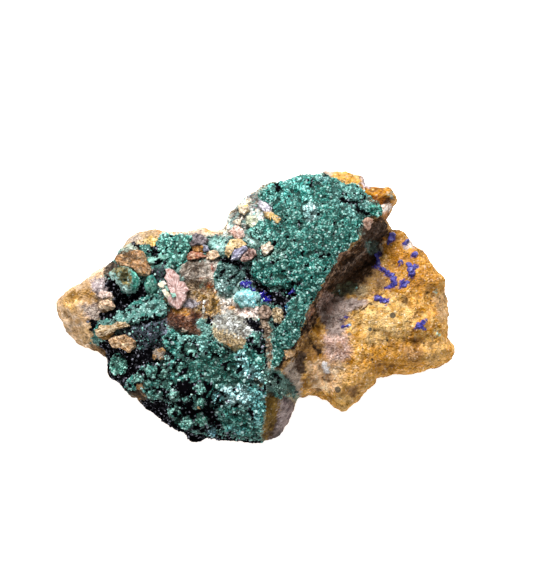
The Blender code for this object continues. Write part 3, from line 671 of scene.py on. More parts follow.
ROCK_PATCHES: tuple[Patch, ...] = (
    # The matrix of the high side: black and green between the crusts and the stones.
    Patch("#5f8f86 #8fbcb2 #4a756d #a9cfc6", HIGH_SIDE, soft=4, coat=Coat.MATRIX),
    # The low ledge of limonite on the right.
    Patch("#b27a2c #cc9448 #deb068 #c28636 #d8a458", "384,222 402,230 420,248 440,266 450,290 450,336 "
          "457,345 452,364 420,374 385,378 370,388 358,400 345,413 326,402 312,392 296,400 282,386 284,362 "
          "300,345 318,316 340,300 366,282 380,256", soft=4, cell=2.3),
    Patch("#dcb06e #e6c284 #d29f54", "360,302 382,296 404,300 412,318 404,338 384,346 362,342 352,322",
          soft=14, share=0.85, cell=1.8),
    Patch("#b97c30 #a86e26 #c68e42", "392,232 410,236 432,262 440,282 420,298 404,286 388,262",
          soft=10, share=0.7),
    Patch("#a8742f #bb8336 #9a6a30", "380,342 410,336 440,344 448,356 420,368 384,374 362,372 360,356",
          soft=9, share=0.75),
    Patch("#c49a5c #d5ad70", "418,340 446,342 446,360 424,366", soft=6, share=0.6),
    Patch("#eccca6 #d8ae86 #f2d8b8", "305,362 335,356 348,368 338,392 312,390", soft=7, share=0.7),
    Patch("#b98d52 #caa066", "338,364 372,366 370,384 352,404 336,400", soft=6, share=0.6),
    Patch("#ae8a80 #c9aba2 #a07c68", "322,334 338,328 349,336 352,350 346,362 330,361 323,350",
          soft=8, share=0.85),
    Patch("#fffafa", "321,361 326,362 329.5,371 327,375 323,369", soft=1.5),
    Patch("#9d8d80 #ab9a8a", "282,364 292,354 298,360 302,374 302,386 298,396 290,386", soft=3),
    # A painted highlight at the lower end of the grey face.
    Patch("#cdb9a6", "288,384 300,382 301,397 296,398", soft=4, share=0.8),
    Patch("#3a2a20 #6e5a4a #4a382c", "294,353 300,349 306,356 304,364 306,371 299,375 295,364", cell=0.9),
    Patch("#8a6540 #9b7448", "300,338 320,336 324,352 312,358 300,350", soft=6, share=0.8),
    Patch("#6b4a2c", "346,389 356,384 359,393 352,397", soft=4, share=0.8),
    Patch("#c9a05c #d9b272", "334,396 348,394 354,402 346,411 338,407", soft=4, share=0.6),
    Patch("#cdbab2 #d8c8bc", "402,243 409,239 415,241 415,247 408,249 403,247"),
    Patch("#b89a78", "434,296 447,292 448,318 438,322", soft=6, share=0.6),
    Patch("#9a7a5c #8c6c58", "398,348 414,346 424,354 410,362", soft=5, share=0.5),
    # Darker brown on the ledge at the wall's foot: painted shade.
    Patch("#96724a #a57f4c", "366,272 380,266 388,284 378,293 364,298 354,294 360,282", soft=5),
    Patch("#cdb48c", "352,290 366,284 369,292 358,298", soft=4, share=0.8),
    # A painted highlight along the ledge's edge by the wall.
    Patch("#f4ead8", "382,238 380,248 377,254 380,256 384,246", share=0.8),
    Patch("#26180e", "306,337 310,338 315,344 323,353 319,354.5 311,345", soft=1.5),
    Patch("#2a1c10", "352,309 361,307 370,302.5 371.5,305.5 362,309.5 353,311.5", soft=1.5),
    Patch("#8ab4d8", "343.5,328 347,323.5 351,324.5 347,328", soft=1.5),
    Patch("#35304a", "339,320 346,315 350,316.5 343,321", soft=1.5),
    Patch("#a5d8c8", "434,291 436.5,288.5 438,292 435.5,293.5", soft=1.5),
    Patch("#a5d8c8", "435.5,333 437,331 438.5,333.5 437,335", soft=1.5),
    # The ragged wall between the two levels: its own dark brown, deepened to near black with painted shade.
    Patch("#180e06 #553820 #281a0e #80644c #33200f", WALL, cell=1.5),
    Patch("#0e0703 #38261a #180f08 #503c2c", "346,260 360,250 372,254 380,256 376,264 366,273 358,281 "
          "346,287 336,291 332,284 340,270", soft=2.5, share=0.75, cell=1.2),
    Patch("#9a8270", "351,263 360,254.5 368,248 369,249.5 361,257 352,265.5", soft=1.2, share=0.8),
    Patch("#8c7260", "339,271 350,262 351,264 341,274", soft=1.2, share=0.8),
    Patch("#a08876", "371,237 380,228 381.5,230 373,239.5", soft=1.2, share=0.7),
    Patch("#94705c", "318,294 326,281 328,282 320,297", soft=1.2, share=0.8),
    Patch("#8a6230 #a47c44 #6c4c26", "303,331 309,334 303,347 293,359 285,368 279,370 285,360 293,350 "
          "299,340", cell=1.2),
    Patch("#a06a50", "305,322 312,306 314,307 308,324", soft=1.2, share=0.8),
    Patch("#080402", "354,271 366,263.5 375,258.5 375.5,261 366,267 356,274", soft=1.2),
    Patch("#080402", "343,263 350,255.5 351.5,257 345,265", soft=1.2),
    Patch("#080402", "361,247 370,238 371.5,240 363,250", soft=1.2),
    Patch("#0c0603", "299,331 308,317 310,318.5 302,333", soft=1.2),
    Patch("#2f241c #54443a #3c2e24", "360,236 368,228 376,222 386,218 388,226 383,238 376,246 362,248",
          soft=3, share=0.8, cell=1.2),
    Patch("#5f6f68 #4c5a54", "364,243 373,239 380,243 379,253 370,255 365,250",
          soft=3, coat=Coat.THIN_GREEN),
    Patch("#55604a #454d3c", "332,294 341,284 352,280 360,283 354,293 344,297",
          soft=4, share=0.8, coat=Coat.THIN_GREEN),
    Patch("#9c877e #b3a097 #86716a", "317,302 326,292 336,297 348,298 366,299 370,302 360,307 350,310 "
          "345,318 343,330 338,337 328,335 321,320", soft=3, cell=2),
    # Painted shade on the rim of the mauve face.
    Patch("#7a5a4e", "318,302 326,293 335,300 334,312 324,316", soft=5, share=0.7),
    Patch("#a8836a #8e6850", "331,263 337,255 346,249 349,252 341,257 335,265"),
    # The tip and the rock behind the plate.
    Patch("#b07426 #c08434 #985e1e #d09a46", "359,186 372,185 386,186 397,193 400,200 396,208 390,220 "
          "384,222 380,214 384,208 378,202 371,202 364,196", soft=3, cell=1.6),
    Patch("#d8a868 #c89858 #b07c3c", "386,190 393,191 398,199 396,208 391,217 387,217 391,207 391,199",
          soft=2.5),
    # A painted shadow under the tip's orange rim.
    Patch("#4e2a0a #6b3c12", "363,195 374,197 384,197 392,195 392,203 384,206.5 371,206", soft=2.0),
    Patch("#fff0e6 #e4bea4 #fff6ee", "380,206.5 388,203.5 391,206 389,213 383,216 379,212", soft=2.0),
    Patch("#b8845a #9c6a42", "381,214 390,211 390,219 385,221", soft=3),
    Patch("#93a8a0", "388,193 391.5,193 392,198 388.5,198", soft=1.5),
    Patch("#dea85a #d29a48 #e6bd78", "329,176 334,169 346,170 352,174 358,175 362,180 357,184 346,185 "
          "338,187 331,185", soft=2.5),
    Patch("#d9c0aa #c9ab98", "322,168 333,167 333,173 328,178", soft=3),
    Patch("#b6a7ac #c9bcc0", "359,176 365,178 370,189 363,188", soft=2.5),
    Patch("#b8a898 #a08c7c #c9b8a4", "258,190 275,178 290,173 305,170 326,168 326,175 310,177 296,179 "
          "280,184 266,192", soft=2.5, cell=1.4),
    # The cemented fragments left of the plate.
    Patch("#a2d6ce #eeece4 #e6d2c6 #caeae6 #dccfb4 #c2c0c8", "222,236 225,222 232,208 242,198 257,190 "
          "264,197 264,208 272,214 281,222 274,228 262,228 256,238 246,242 240,234 232,238",
          soft=2.5, cell=1.7, coat=Coat.PALE_MIX),
    Patch("#96ccc2 #b8e0d8 #74aca0", "245,230 256,226 262,230 262,246 250,246",
          soft=3, coat=Coat.THIN_GREEN),
    Patch("#bfe2da #f2e6d4 #d6ece6 #e8d0b0", "222,232 224,220 229,210 237,202 246,197 250,204 242,214 "
          "238,224 230,234", soft=2.5),
    Patch("#a8cfc8 #8fc0b8", "204,240 215,238 224,241 229,249 226,258 218,252 211,246",
          soft=3, coat=Coat.THIN_GREEN),
    Patch("#2b2a2a", "221,236 223.5,222 229,213 230.5,215 226,226 224,237", share=0.6),
    Patch("#dcbfa8 #e6cdb4 #d2ab86", "160,226 180,228 222,224 224,233 206,236 180,234 170,237 162,233",
          soft=2.5),
    Patch("#d79a4f", "204,229 210,228 211,233 205,233"),
    # The middle: grey-brown and golden stones, and the pale speckled fragment.
    Patch("#453b33 #6a5e53 #8c8074 #50463d #a69a8e", "178,266 186,260 197,259 206,262 209,271 206,281 "
          "196,285 186,282 180,275", soft=2.5),
    Patch("#b5a89c #9c8f84 #c8beb2", "204,258 218,259 220,272 214,282 206,282 208,270", soft=3),
    Patch("#8a4a3a", "210.5,265 213,265 213.5,273 211,273", soft=1.5),
    Patch("#a98e6e #8c765c #bfa98c", "182,282 200,280 202,292 196,302 186,300", soft=3),
    Patch("#c4b29a #a8927a #b8683e #d9c8b0", "200,278 214,279 222,284 222,294 208,292", soft=3, cell=1.1),
    Patch("#4a381c #8a6836 #b08a54 #6a5028 #c4a884 #78583a", "194,292 203,286 212,289 221,294 222,309 "
          "213,322 204,323 197,316 189,311 185,304", soft=3),
    Patch("#8e8790 #a59ea4 #5f585e", "184,301 192,297 200,301 197,308 187,309", soft=2.5),
    Patch("#2c1a15 #50301f #6a4430 #3a221a #7c5a48", "160,316 168,309 178,305 191,308 200,313 206,320 "
          "203,328 200,335 190,334 178,328 167,323", soft=2.5, cell=1.8),
    Patch("#a8742c #8a5c24", "172,309 183,306 192,310 190,315 180,314", soft=2.5, share=0.9),
    Patch("#3a2a24", "166,320 180,326 196,332 194,336 176,332", soft=3, share=0.8),
    Patch("#b4b8b4 #908e84 #72706a #d6dad6", "216,314 226,310 240,313 250,320 254,327 252,336 246,341 "
          "232,336 220,332 213,324", soft=2.5, cell=1.2),
    Patch("#a48c64 #907a56 #bca680 #7a684c", "211,324 220,330 234,334 248,339 250,346 243,353 234,350 "
          "224,345 215,337", soft=3, cell=1.2),
    Patch("#d09038", "226,341 229,340 230,344 227,344", soft=1.5),
    Patch("#eee4da #ccbcac #f8f0e6 #b4a292", "220,297 236,294 241,303 258,305 263,312 256,318 244,317 "
          "232,311 221,312", soft=2.5, cell=1.2),
    Patch("#d8a060", "229,305 235,305 236,311 231,310"),
    Patch("#8fa49e #6f8f88 #a9b8ae", "214,278 226,277 239,282 240,293 228,299 219,296",
          soft=3, coat=Coat.THIN_GREEN),
    # The thin vein.
    Patch("#5c4838 #a08a74 #44362a #806a56", "256,311 262,314 267,319 271,328 271,340 272,352 271,368 "
          "270,383 266,383 266,366 267,352 266,340 262,330 259,320", soft=1.5, cell=1.0),
    Patch("#96643c #b07c50", "267,369 270,369 270,384 267,384", soft=1.5, cell=1.0),
    # The left: lobes, brown lump and the black hollow.
    Patch("#b9946a #cda880 #d8b998 #c0986a", "54,300 60,286 78,275 100,263 108,266 104,280 113,294 113,308 "
          "103,317 95,324 95,338 110,350 110,358 95,357 78,346 62,328 54,312", soft=3, cell=2.6),
    Patch("#c49654 #d0a464", "62,300 70,289 80,290 81,302 72,312 64,308", soft=5, share=0.8),
    Patch("#8c6630 #785628 #a47c42", "68,293 74,289 81,291 80,298 73,303 67,300",
          soft=3, share=0.9, cell=0.9),
    Patch("#a87c3e", "82,290 90,286 94,294 88,302 83,299", soft=4, share=0.8),
    Patch("#b9a9a8 #9c8c8e #cbbcb6", "91,280 104,276 112,284 112,296 100,298 93,292", soft=4, cell=1.6),
    Patch("#a59088 #c4b2a4 #8c786e", "82,306 96,303 103,312 98,320 86,319", soft=4, cell=1.4),
    # A painted highlight along the lobe's upper edge.
    Patch("#dcc4ae", "76,280 100,262 108,266 100,272 84,282", soft=4, share=0.7),
    Patch("#cca878 #b89260", "80,326 94,322 96,338 86,344 78,338", soft=5, share=0.7),
    Patch("#7a5a34 #5f4628", "90,345 104,344 113,352 108,360 96,356", soft=3),
    black("90,321 97,319 100,326 96,335 91,331", "#1d1a1a", soft=2.5),
    Patch("#c6a882 #b49672 #d6bc94", "122,248 126,239 135,232 145,228 158,226 164,234 158,240 156,247 "
          "146,248 140,251 130,244", soft=2.5, cell=1.8),
    Patch("#ffd97e #f0c468", "143,241 150,236 158,238 157,245 147,247", soft=2.5),
    Patch("#b7a9a0", "127,238 138,233 142,240 132,243", soft=3, share=0.7),
    Patch("#b98a58", "156,227 162,229 162,235 157,234", soft=2.5),
    black("131,243 136,241 142,248 139,251 133,248", "#1d1c1c"),
    Patch("#8a9a8c #a8b4a4 #6c7c70", "121,248 130,244 136,247 138,252 128,255 119,254",
          coat=Coat.THIN_GREEN),
    Patch("#94683e #b98c5c #7c5836", "116,256 124,252 136,250 145,252 149,262 154,270 151,277 140,276 "
          "130,269 120,267 115,261", cell=1.4),
    black("104,282 112,276 119,282 126,292 140,289 147,279 150,297 157,300 151,306 136,311 122,319 112,319 "
          "102,320 100,314 112,309 114,298 108,291", "#161516", soft=2.5),
    Patch("#4d4a55 #3a3840 #666370", "149,277 155,267 165,267 167,276 160,284 154,281",
          soft=2.5, coat=Coat.SPECKLED),
    black("149,250 156,245 161,252 168,252 178,256 173,268 163,263 168,256 158,254 150,256", "#1c1b1b"),
    Patch("#6fa196 #86b5aa", "165,267 170,259 181,260 181,268 171,270", coat=Coat.GREEN),
    Patch("#8a6a3a", "160,299 168,299 170,306 162,306", share=0.8),
    Patch("#5a5c6a #40424e #8a90a2", "126,326 140,319 153,316 166,317 170,330 166,346 150,352 138,351 "
          "133,338 124,337 112,335 112,330 124,329", soft=2.5, coat=Coat.SPECKLED),
    Patch("#6a918b #4f7a72", "92,338 98,327 104,321 113,319 107,328 101,336 105,342 98,347 92,343",
          soft=2.5, coat=Coat.GREEN),
    black("96,345 104,341 113,340 113,351 110,356 103,349", "#151415"),
    # Lower left: the black coat with its speckles, down to the rim.
    black("108,352 120,348 140,350 152,348 158,360 162,368 150,371 139,373 132,380 138,388 128,392 114,386 "
          "106,374 104,360", "#1c1b1f #2a292f", soft=3),
    Patch("#55565e #3c3c44 #6c6a74", "164,343 176,340 186,346 186,362 172,362 166,354",
          soft=3, coat=Coat.SPECKLED),
    Patch("#5d4c3a #4a3c2e #7a5c3c", "128,392 136,386 144,381 149,390 148,402 136,403", soft=2.5),
    black("138,402 150,399 170,403 174,420 180,428 192,434 205,436 222,436 222,446 190,444 160,428 138,410",
          soft=3),
    Patch("#6f9a94 #8fb8b0", "197,322 204,317 211,322 211,333 202,334", coat=Coat.GREEN),
    black("207,316 213,318 213,325 208,323", "#1a1818"),
    # The crevices between the crusts.
    black("220,257 232,259 241,263 248,269 252,279 244,278 236,269 226,264", "#17161a"),
    black("252,281 262,285 272,291 284,295 291,300 300,295 305,300 296,305 288,304 286,311 290,318 283,327 "
          "275,323 284,314 281,304 268,301 257,293", "#17161a"),
    black("280,290 290,285 303,289 302,296 290,294", "#17161a"),
    black("244,317 256,321 265,330 260,333 250,327", "#1b1a1e"),
    black("261,334 266,340 266,366 264,372 263,350", "#1b1a1e"),
    # The foot below the tip of the plate.
    Patch("#6b5226 #7a5f2c #574220", "263,394 268,391 277,393 280,402 277,412 275,428 268,440 262,437 "
          "265,420 264,405", soft=2.5),
    Patch("#877773 #9a8a86 #716060", "279,399 287,395 296,403 298,414 292,426 285,435 276,441 268,442 "
          "274,428 278,412", soft=2.5),
    Patch("#4a3d38", "268,430 284,430 284,442 266,444", soft=5, share=0.7),
    Patch("#93a08c #a89a80", "282,386 292,388 299,397 297,405 288,396", soft=2.5, coat=Coat.THIN_GREEN),
    Patch("#1a1614", "278,371 285,373 293,384 298,393 295,395 286,385"),
    Patch("#5a7a72 #6f9188", "264,366 280,370 292,384 297,396 286,396 266,391",
          soft=3, coat=Coat.THIN_GREEN),
    Patch("#1a1614", "266,392 278,391 292,401 290,404 277,395 267,395", soft=1.5, share=0.7),
    Patch("#8c6a60 #6c4c44", "242,252 249,249 256,251 253,259 245,261"),
    Patch("#f2d2c4 #ffeae0 #d2b0a2", "238,304 258,305 262,313 250,317 238,313", soft=2.5, cell=0.9),
    black("214,434.5 226,436.5 238,438.5 248,440.5 264,440.5 264,447 214,447", soft=1.2),
)

CRUST_BASE = "#4a8078 #62988f #3c726b"

CRUST_PATCHES: tuple[Patch, ...] = (
    # The plate.
    Patch("#92ded4 #aaeae2 #76c6bc", "262,190 280,180 300,177 312,180 310,200 292,208 270,202",
          soft=9, share=0.85),
    Patch("#a9cfd0 #8fbcbc", "316,176 326,175 330,182 320,184", soft=4, share=0.8),
    Patch("#8ab8b4 #aad2ce #6e9e98", "330,188 356,186 372,202 372,216 352,220 334,208", soft=9, share=0.8),
    Patch("#44746c #5a8e86 #264c45", "280,206 330,200 350,220 356,240 330,260 290,256 274,236",
          soft=12, share=0.8),
    Patch("#e4ffff #d8ffff", "302,209 309,202 318,206 318,218 308,222", soft=5),
    Patch("#8fb8ad #a9c8bc #6c9b90", "254,252 272,248 288,250 284,260 262,262", soft=4, share=0.8),
    Patch("#8ccac0 #aedcd4 #74b0a6", "244,228 262,224 270,234 262,246 248,244", soft=4, share=0.9),
    Patch("#3a625b #47726b", "282,300 306,296 300,330 290,352 274,364 272,338", soft=6, share=0.7),
    Patch("#7d9fd0", "282,306 287,307 287,314 283,314", share=0.8),
    Patch("#9fd0c8", "281,337 286,336 287,341 282,342", share=0.8),
    Patch("#7fb0a6 #6a9d93", "365,207 372,203 380,208 379,216 370,217", soft=3, share=0.8),
    # A painted shadow under the tip's orange rim, where it falls on the crust.
    Patch("#5e3818 #7c4c22 #472a10", "364,197 374,199 384,200 388,203 384,207 376,205 366,202"),
    black("338,198 352,201 361,200 361,203 350,205 338,202", "#131415", share=0.9),
    black("354,203 362,210 374,216 372,218.5 360,214 353,206", "#131415", share=0.9),
    black("314,251 326,252.5 326,255 315,254", "#131415", share=0.9),
    black("274,184 280,184 281,191 275,192", "#1a1718"),
    black("280,283 292,282 300,280 301,284 290,286", "#131415", share=0.8),
    black("310,180 314,180 314,190 310,190", "#131415", soft=2.5, share=0.8),
    # The apron.
    Patch("#31564f #3d665e #27473f", "186,344 215,342 246,352 252,372 238,392 200,384 176,368",
          soft=8, share=0.85),
    Patch("#8fbfba #a5cfca #6f9f98", "170,333 186,331 204,334 214,342 206,354 196,350 184,344",
          soft=5, share=0.85),
    Patch("#b8e6ea #d0f4f8 #94cccc", "238,350 247,351 249,360 258,368 266,380 258,384 244,376 236,368",
          soft=4, share=0.9),
    Patch("#c8f2f6 #e0fcff #a0d4d8", "213,394 222,385 236,384 249,383 254,396 247,404 232,403 218,402",
          soft=5, share=0.9),
    Patch("#86bcc0 #9ed2d4 #5f9494", "246,400 258,384 268,384 267,402 264,420 254,424 248,412",
          soft=5, share=0.8),
    Patch("#8fb5c4 #a8c8d4", "204,428 214,427 217,437 206,438", soft=3, share=0.9),
    Patch("#86bcc0", "228,424 246,428 244,440 226,440", soft=5, share=0.6),
    Patch("#7fa8a0 #94b8b0 #5f8c84", "138,370 152,364 172,364 170,378 146,384", soft=4, share=0.8),
    black("140,398 165,387 180,382 196,380 207,394 216,408 222,424 225,440 190,440 150,412",
          "#101012", soft=5, share=0.85),
    Patch("#8a9c8e #a0aea0", "148,392 154,389 160,394 158,401 150,401", soft=3, share=0.9),
    Patch("#7fa89e #96bab0", "168,392 176,389 182,395 180,403 170,402", soft=3, share=0.8),
    Patch("#86b4ac", "169,406 175,404 180,412 176,419 170,416", soft=3, share=0.8),
    Patch("#7fa89e #8fb5ac", "182,416 190,415 194,424 190,431 182,428", soft=3, share=0.8),
    Patch("#74a294 #5f9080", "195,421 202,410 209,420 206,425 198,424", share=0.9),
    Patch("#7fb0b0 #93c2c0", "250,332 258,331 263,337 260,344 251,343", soft=3, share=0.9),
    black("178,386 190,382 195,390 192,402 184,402 180,394", soft=3),
    black("184,403 197,402 200,409 195,420 190,414", soft=3),
    black("203,404 212,410 217,424 211,427 205,414", soft=2.5),
    black("138,402 146,398 160,401 168,402 170,418 178,420 182,430 192,432 205,437 224,438 222,446 190,444 "
          "160,428", soft=2.5),
    black("158,386 168,384 170,392 166,402 160,398", soft=2.5, share=0.9),
    black("250,344 262,344 262,348 252,348", "#1b1a1e", share=0.8),
    Patch("#d09a70", "254,377 258,378 264,385 261,386", soft=1.5, share=0.9),
    # The smaller crusts.
    Patch("#88c2b6 #a6d8cc #649f94", "156,236 168,230 194,230 194,244 188,256 180,268 168,270 158,250",
          soft=4, share=0.8),
    Patch("#4a6660 #5f7f78 #3a524d", "214,268 222,260 240,262 252,276 244,284 236,292 226,296 216,282",
          soft=4, share=0.8),
    Patch("#94c2ba #c2e4de #70a49c", "96,330 110,316 140,304 166,296 170,312 150,320 124,324 106,332",
          soft=4, share=0.8),
    black("112,334 122,327 134,323 146,320 158,317 164,324 142,331 124,338", "#121214", soft=6, share=0.85),
    Patch("#86bcae #aadccc #6aa294", "106,362 116,352 130,362 124,378 108,376", soft=3, share=0.9, cell=1.1),
    Patch("#839a94 #9cb2ac #68807a", "110,268 124,264 142,278 142,292 126,294 114,282", soft=3, share=0.9),
    Patch("#5c6458 #868a7c #444c44", "109,264 128,262 131,270 121,276 112,277", soft=2.5, cell=0.9),
    Patch("#b4d0ca #d2e8e2 #9cc0b8", "110,270 114,275 118,282 124,288 131,291 136,292 132,295 124,293 "
          "116,286 110,277", soft=1.5),
    Patch("#3c665c #5c9084 #4a786c", "130,272 136,272 141,279 141,286 136,291 132,288 133,280",
          soft=1.5, cell=0.8),
    Patch("#94d0c0", "130,271 137,272 142,278 140,279.5 135.5,275.5 130,273.5", soft=1.5),
    Patch("#6e6446 #8c8062 #4e4832", "113,268 120,264 127,268 131,275 132,284 128,288 121,282 115,275",
          soft=1.5, cell=0.8),
    Patch("#3e6256 #648a7e #34524a", "144,278 154,276 159,290 154,300 144,292", share=0.95, cell=0.9),
    Patch("#90c8b8", "144.5,281 147.5,277.5 149.5,280 148,287 148.5,293 146,290", soft=1.5, share=0.9),
    Patch("#446a60 #5c8478 #7ca094", "145,262 150,255 160,252 168,256 162,263 150,268",
          share=0.95, cell=0.8),
    Patch("#a4c6bc", "147,265 150,259 156,255.5 163,255 167,258 161,258 155,260 151,266",
          soft=1.5, share=0.9),
    black("154,261 161,259.5 163,262 156,265", "#0e1614", soft=1.5),
    Patch("#86beb4 #a4d4ca #5c968c", "140,244 150,246 152,252 146,258 141,254", soft=2),
    black("151,247 158,249 158,258 152,256", "#141818", soft=2),
    Patch("#c6fafe #dcfdff #a0e0ea", "236,290 250,290 262,300 252,309 238,304", soft=3),
    Patch("#d0f6f6 #f0fefe #a8d6d6", "213,284 224,279 235,286 236,300 226,302 216,295", soft=4, share=0.9),
    Patch("#b9a99a #a3907f #cbbba8", "256,194 275,182 290,177.5 305,174.5 326,174 326,164 256,164"),
    Patch("#aed6c8 #d0f0e6 #8ab2a4", "264,364 278,364 298,398 284,396 266,390", soft=3, share=0.95),
    Patch("#b0a284 #c8b89a #94a088", "283,387 291,388 299,397 297,404 289,398"),
    Patch("#24463e #3a6258", "270,368 277,371 286,379 295,392 291,391 283,385 276,380 270,379", soft=1.5),
    black("271,370 276,371.5 284,378 293,390 292.5,391.5 283,381 275,375", "#0a1210", soft=0.7),
    black("263,337 266,341 267,352 267.5,366 265.5,367 265,352", "#0c0c0a", soft=1),
)

FILM_TONES = "#6f9f96 #8fbcb4 #4f7f76 #a9cfc8"


# Finishes


def blank(name: str) -> tuple[Material, partial, Node, NodeSocket]:
    """A material with only its Principled shader.

    Args:
        name: the material's name.

    Returns:
        The material, the function that adds a node to it, its shader and the object's own coordinates.
    """
    made = bpy.data.materials.new(name)
    made.use_nodes = True
    node = partial(add_node, made.node_tree)
    place = node("ShaderNodeTexCoord").outputs["Object"]
    return made, node, made.node_tree.nodes["Principled BSDF"], place


@dataclass(frozen=True)
class Dot:
    """A small round spot on the ledge: its pixel, radius in millimetres and tone."""

    at: tuple[float, float]
    radius: float
    tone: str


LEDGE_DOTS: tuple[Dot, ...] = (
    Dot((392, 315), 0.72, "#45443c"), Dot((369.5, 329), 0.48, "#5f5a50"), Dot((386.5, 340), 0.3, "#2b2620"),
    Dot((371.5, 359), 0.32, "#2b2620"), Dot((337, 389), 0.78, "#4a453a"), Dot((349, 334), 0.5, "#7a6a58"),
    Dot((398, 331), 0.22, "#3a3028"), Dot((352, 372), 0.25, "#4a3a2a"), Dot((423, 343), 0.25, "#5a4630"),
    Dot((404, 252), 0.22, "#3c3222"), Dot((430, 300), 0.2, "#4a3a28"), Dot((362, 348), 0.22, "#40342a"),
)


@dataclass(frozen=True)
class LimoniteFinish:
    """Limonite, broken and not worked: earthy and matt, with a sandy grain, cream flecks and rusty pores,
    and painted shade in its hollows.

    Where the rock is coated, goethite gives it a black skin with a few painted glints,
    and malachite a green film.
    """

    name: str = "limonite_rock"
    grain: float = 0.38
    mottle: float = 2.2
    pore: float = 0.8
    gravel: float = 0.9
    crack: float = 1.5
    speck: float = 0.22
    grit: float = 0.32
    fleck_value: float = 2.0
    # The tone of the rusty pores and cracks, also painted as shade in the hollows.
    pore_and_shade_tone: str = "#3a2613"
    # The black of the goethite coat, and the tone of its painted glints.
    goethite: tuple[str, str] = ("#060507", "#9a9aa8")
    film_tone: str = "#1c4038"
    roughness: float = 0.84
    coat_roughness: float = 0.6
    specular: float = 0.07

    def material(self, dots: Iterable[tuple[Vector, Dot]] = ()) -> Material:
        """Builds the material.

        Args:
            dots: places in millimetres, each with the dark dot that it has.

        Returns:
            The material.
        """
        made, node, shader, place = blank(self.name)
        paint, coat = (node("ShaderNodeAttribute", attribute_name=name).outputs["Color"]
                       for name in ("paint", "coat"))
        black_share, green_share, rough_share = node("ShaderNodeSeparateColor", (coat,)).outputs
        hollow = node("ShaderNodeAttribute", attribute_name="hollow").outputs["Fac"]
        cells = node("ShaderNodeTexVoronoi", {"Vector": place, "Scale": per(self.grain)})
        red, green, blue = node("ShaderNodeSeparateColor", (cells.outputs["Color"],)).outputs
        mottle = node("ShaderNodeTexNoise",
                      {"Vector": place, "Scale": per(self.mottle), "Detail": 5.0, "Roughness": 0.62})
        fine = node("ShaderNodeTexNoise",
                    {"Vector": place, "Scale": per(self.pore), "Detail": 4.0, "Roughness": 0.65})
        gravel = node("ShaderNodeTexNoise", {"Vector": place, "Scale": per(self.gravel), "Detail": 3.0,
                                             "Roughness": 0.75, "Distortion": 0.7})
        # The ledge is sandy and even, and the high side is broken up.
        even = node("ShaderNodeMapRange", (mottle, 0.3, 0.7, 0.56, 1.42))
        broken = node("ShaderNodeMapRange", (gravel, 0.36, 0.64, 0.4, 1.75))
        value = node("ShaderNodeMix", {0: rough_share, 2: even, 3: broken})
        rich = node("ShaderNodeMapRange", (fine, 0.3, 0.7, 1.12, 0.88))
        tinted = node("ShaderNodeHueSaturation", {"Color": paint, "Saturation": rich, "Value": value})
        speck = node("ShaderNodeMapRange", (red, 0.0, 1.0, 1 - self.speck, 1 + self.speck))
        grained = node("ShaderNodeHueSaturation", {"Color": tinted, "Value": speck})
        is_fleck = node("ShaderNodeMapRange", (green, 0.94, 0.97, 0.0, 0.45))
        fleck = node("ShaderNodeHueSaturation",
                     {"Color": paint, "Saturation": 0.55, "Value": self.fleck_value})
        # Thin pale veins and dark cracks, on the broken side alone.
        vein = node("ShaderNodeMath", (fine, 0.53, 0.014), operation="COMPARE")
        vein_share = node("ShaderNodeMath", (rough_share, 0.6), operation="MULTIPLY")
        vein = node("ShaderNodeMath", (vein, vein_share), operation="MULTIPLY")
        shift = node("ShaderNodeVectorMath", {0: fine.outputs["Color"], "Scale": 0.9 * MM}, operation="SCALE")
        warped = node("ShaderNodeVectorMath", (place, shift), operation="ADD")
        seams = node("ShaderNodeTexVoronoi", {"Vector": warped, "Scale": per(self.crack)},
                     feature="DISTANCE_TO_EDGE")
        crack = node("ShaderNodeMapRange", (seams, 0.02, 0.1, 0.7, 0.0))
        cracked = node("ShaderNodeMapRange", (mottle, 0.48, 0.58))
        cracked = node("ShaderNodeMath", (cracked, rough_share), operation="MULTIPLY")
        crack = node("ShaderNodeMath", (crack, cracked), operation="MULTIPLY")
        pore = node("ShaderNodeMapRange", (fine, 0.41, 0.33, 0.0, 0.7))
        # Painted shade: the deeper the hollow, the more of the dark pore tone.
        deep = node("ShaderNodeMapRange", (hollow, 0.03, 0.3, 0.0, 0.82))
        dark = rgba(self.pore_and_shade_tone)
        layers = [(is_fleck, fleck), (vein, fleck), (crack, dark), (pore, dark), (deep, dark)]
        for where, dot in dots:
            far = node("ShaderNodeVectorMath", (place, where * MM), operation="DISTANCE").outputs["Value"]
            near, off = (dot.radius - 0.12) * MM, (dot.radius + 0.12) * MM
            layers.append((node("ShaderNodeMapRange", (far, near, off, 0.9, 0.0)), rgba(dot.tone)))
        # The green film, and the black coat with its painted glints over everything.
        edge = node("ShaderNodeMath", (green_share, mottle), operation="ADD")
        filmed = node("ShaderNodeMapRange", (edge, 0.98, 1.16, 0.0, 0.9))
        film = node("ShaderNodeMix", {0: red, 6: rgba(self.film_tone), 7: tinted}, data_type="RGBA")
        edge = node("ShaderNodeMath", (black_share, fine), operation="ADD")
        coated = node("ShaderNodeMapRange", (edge, 0.93, 1.08))
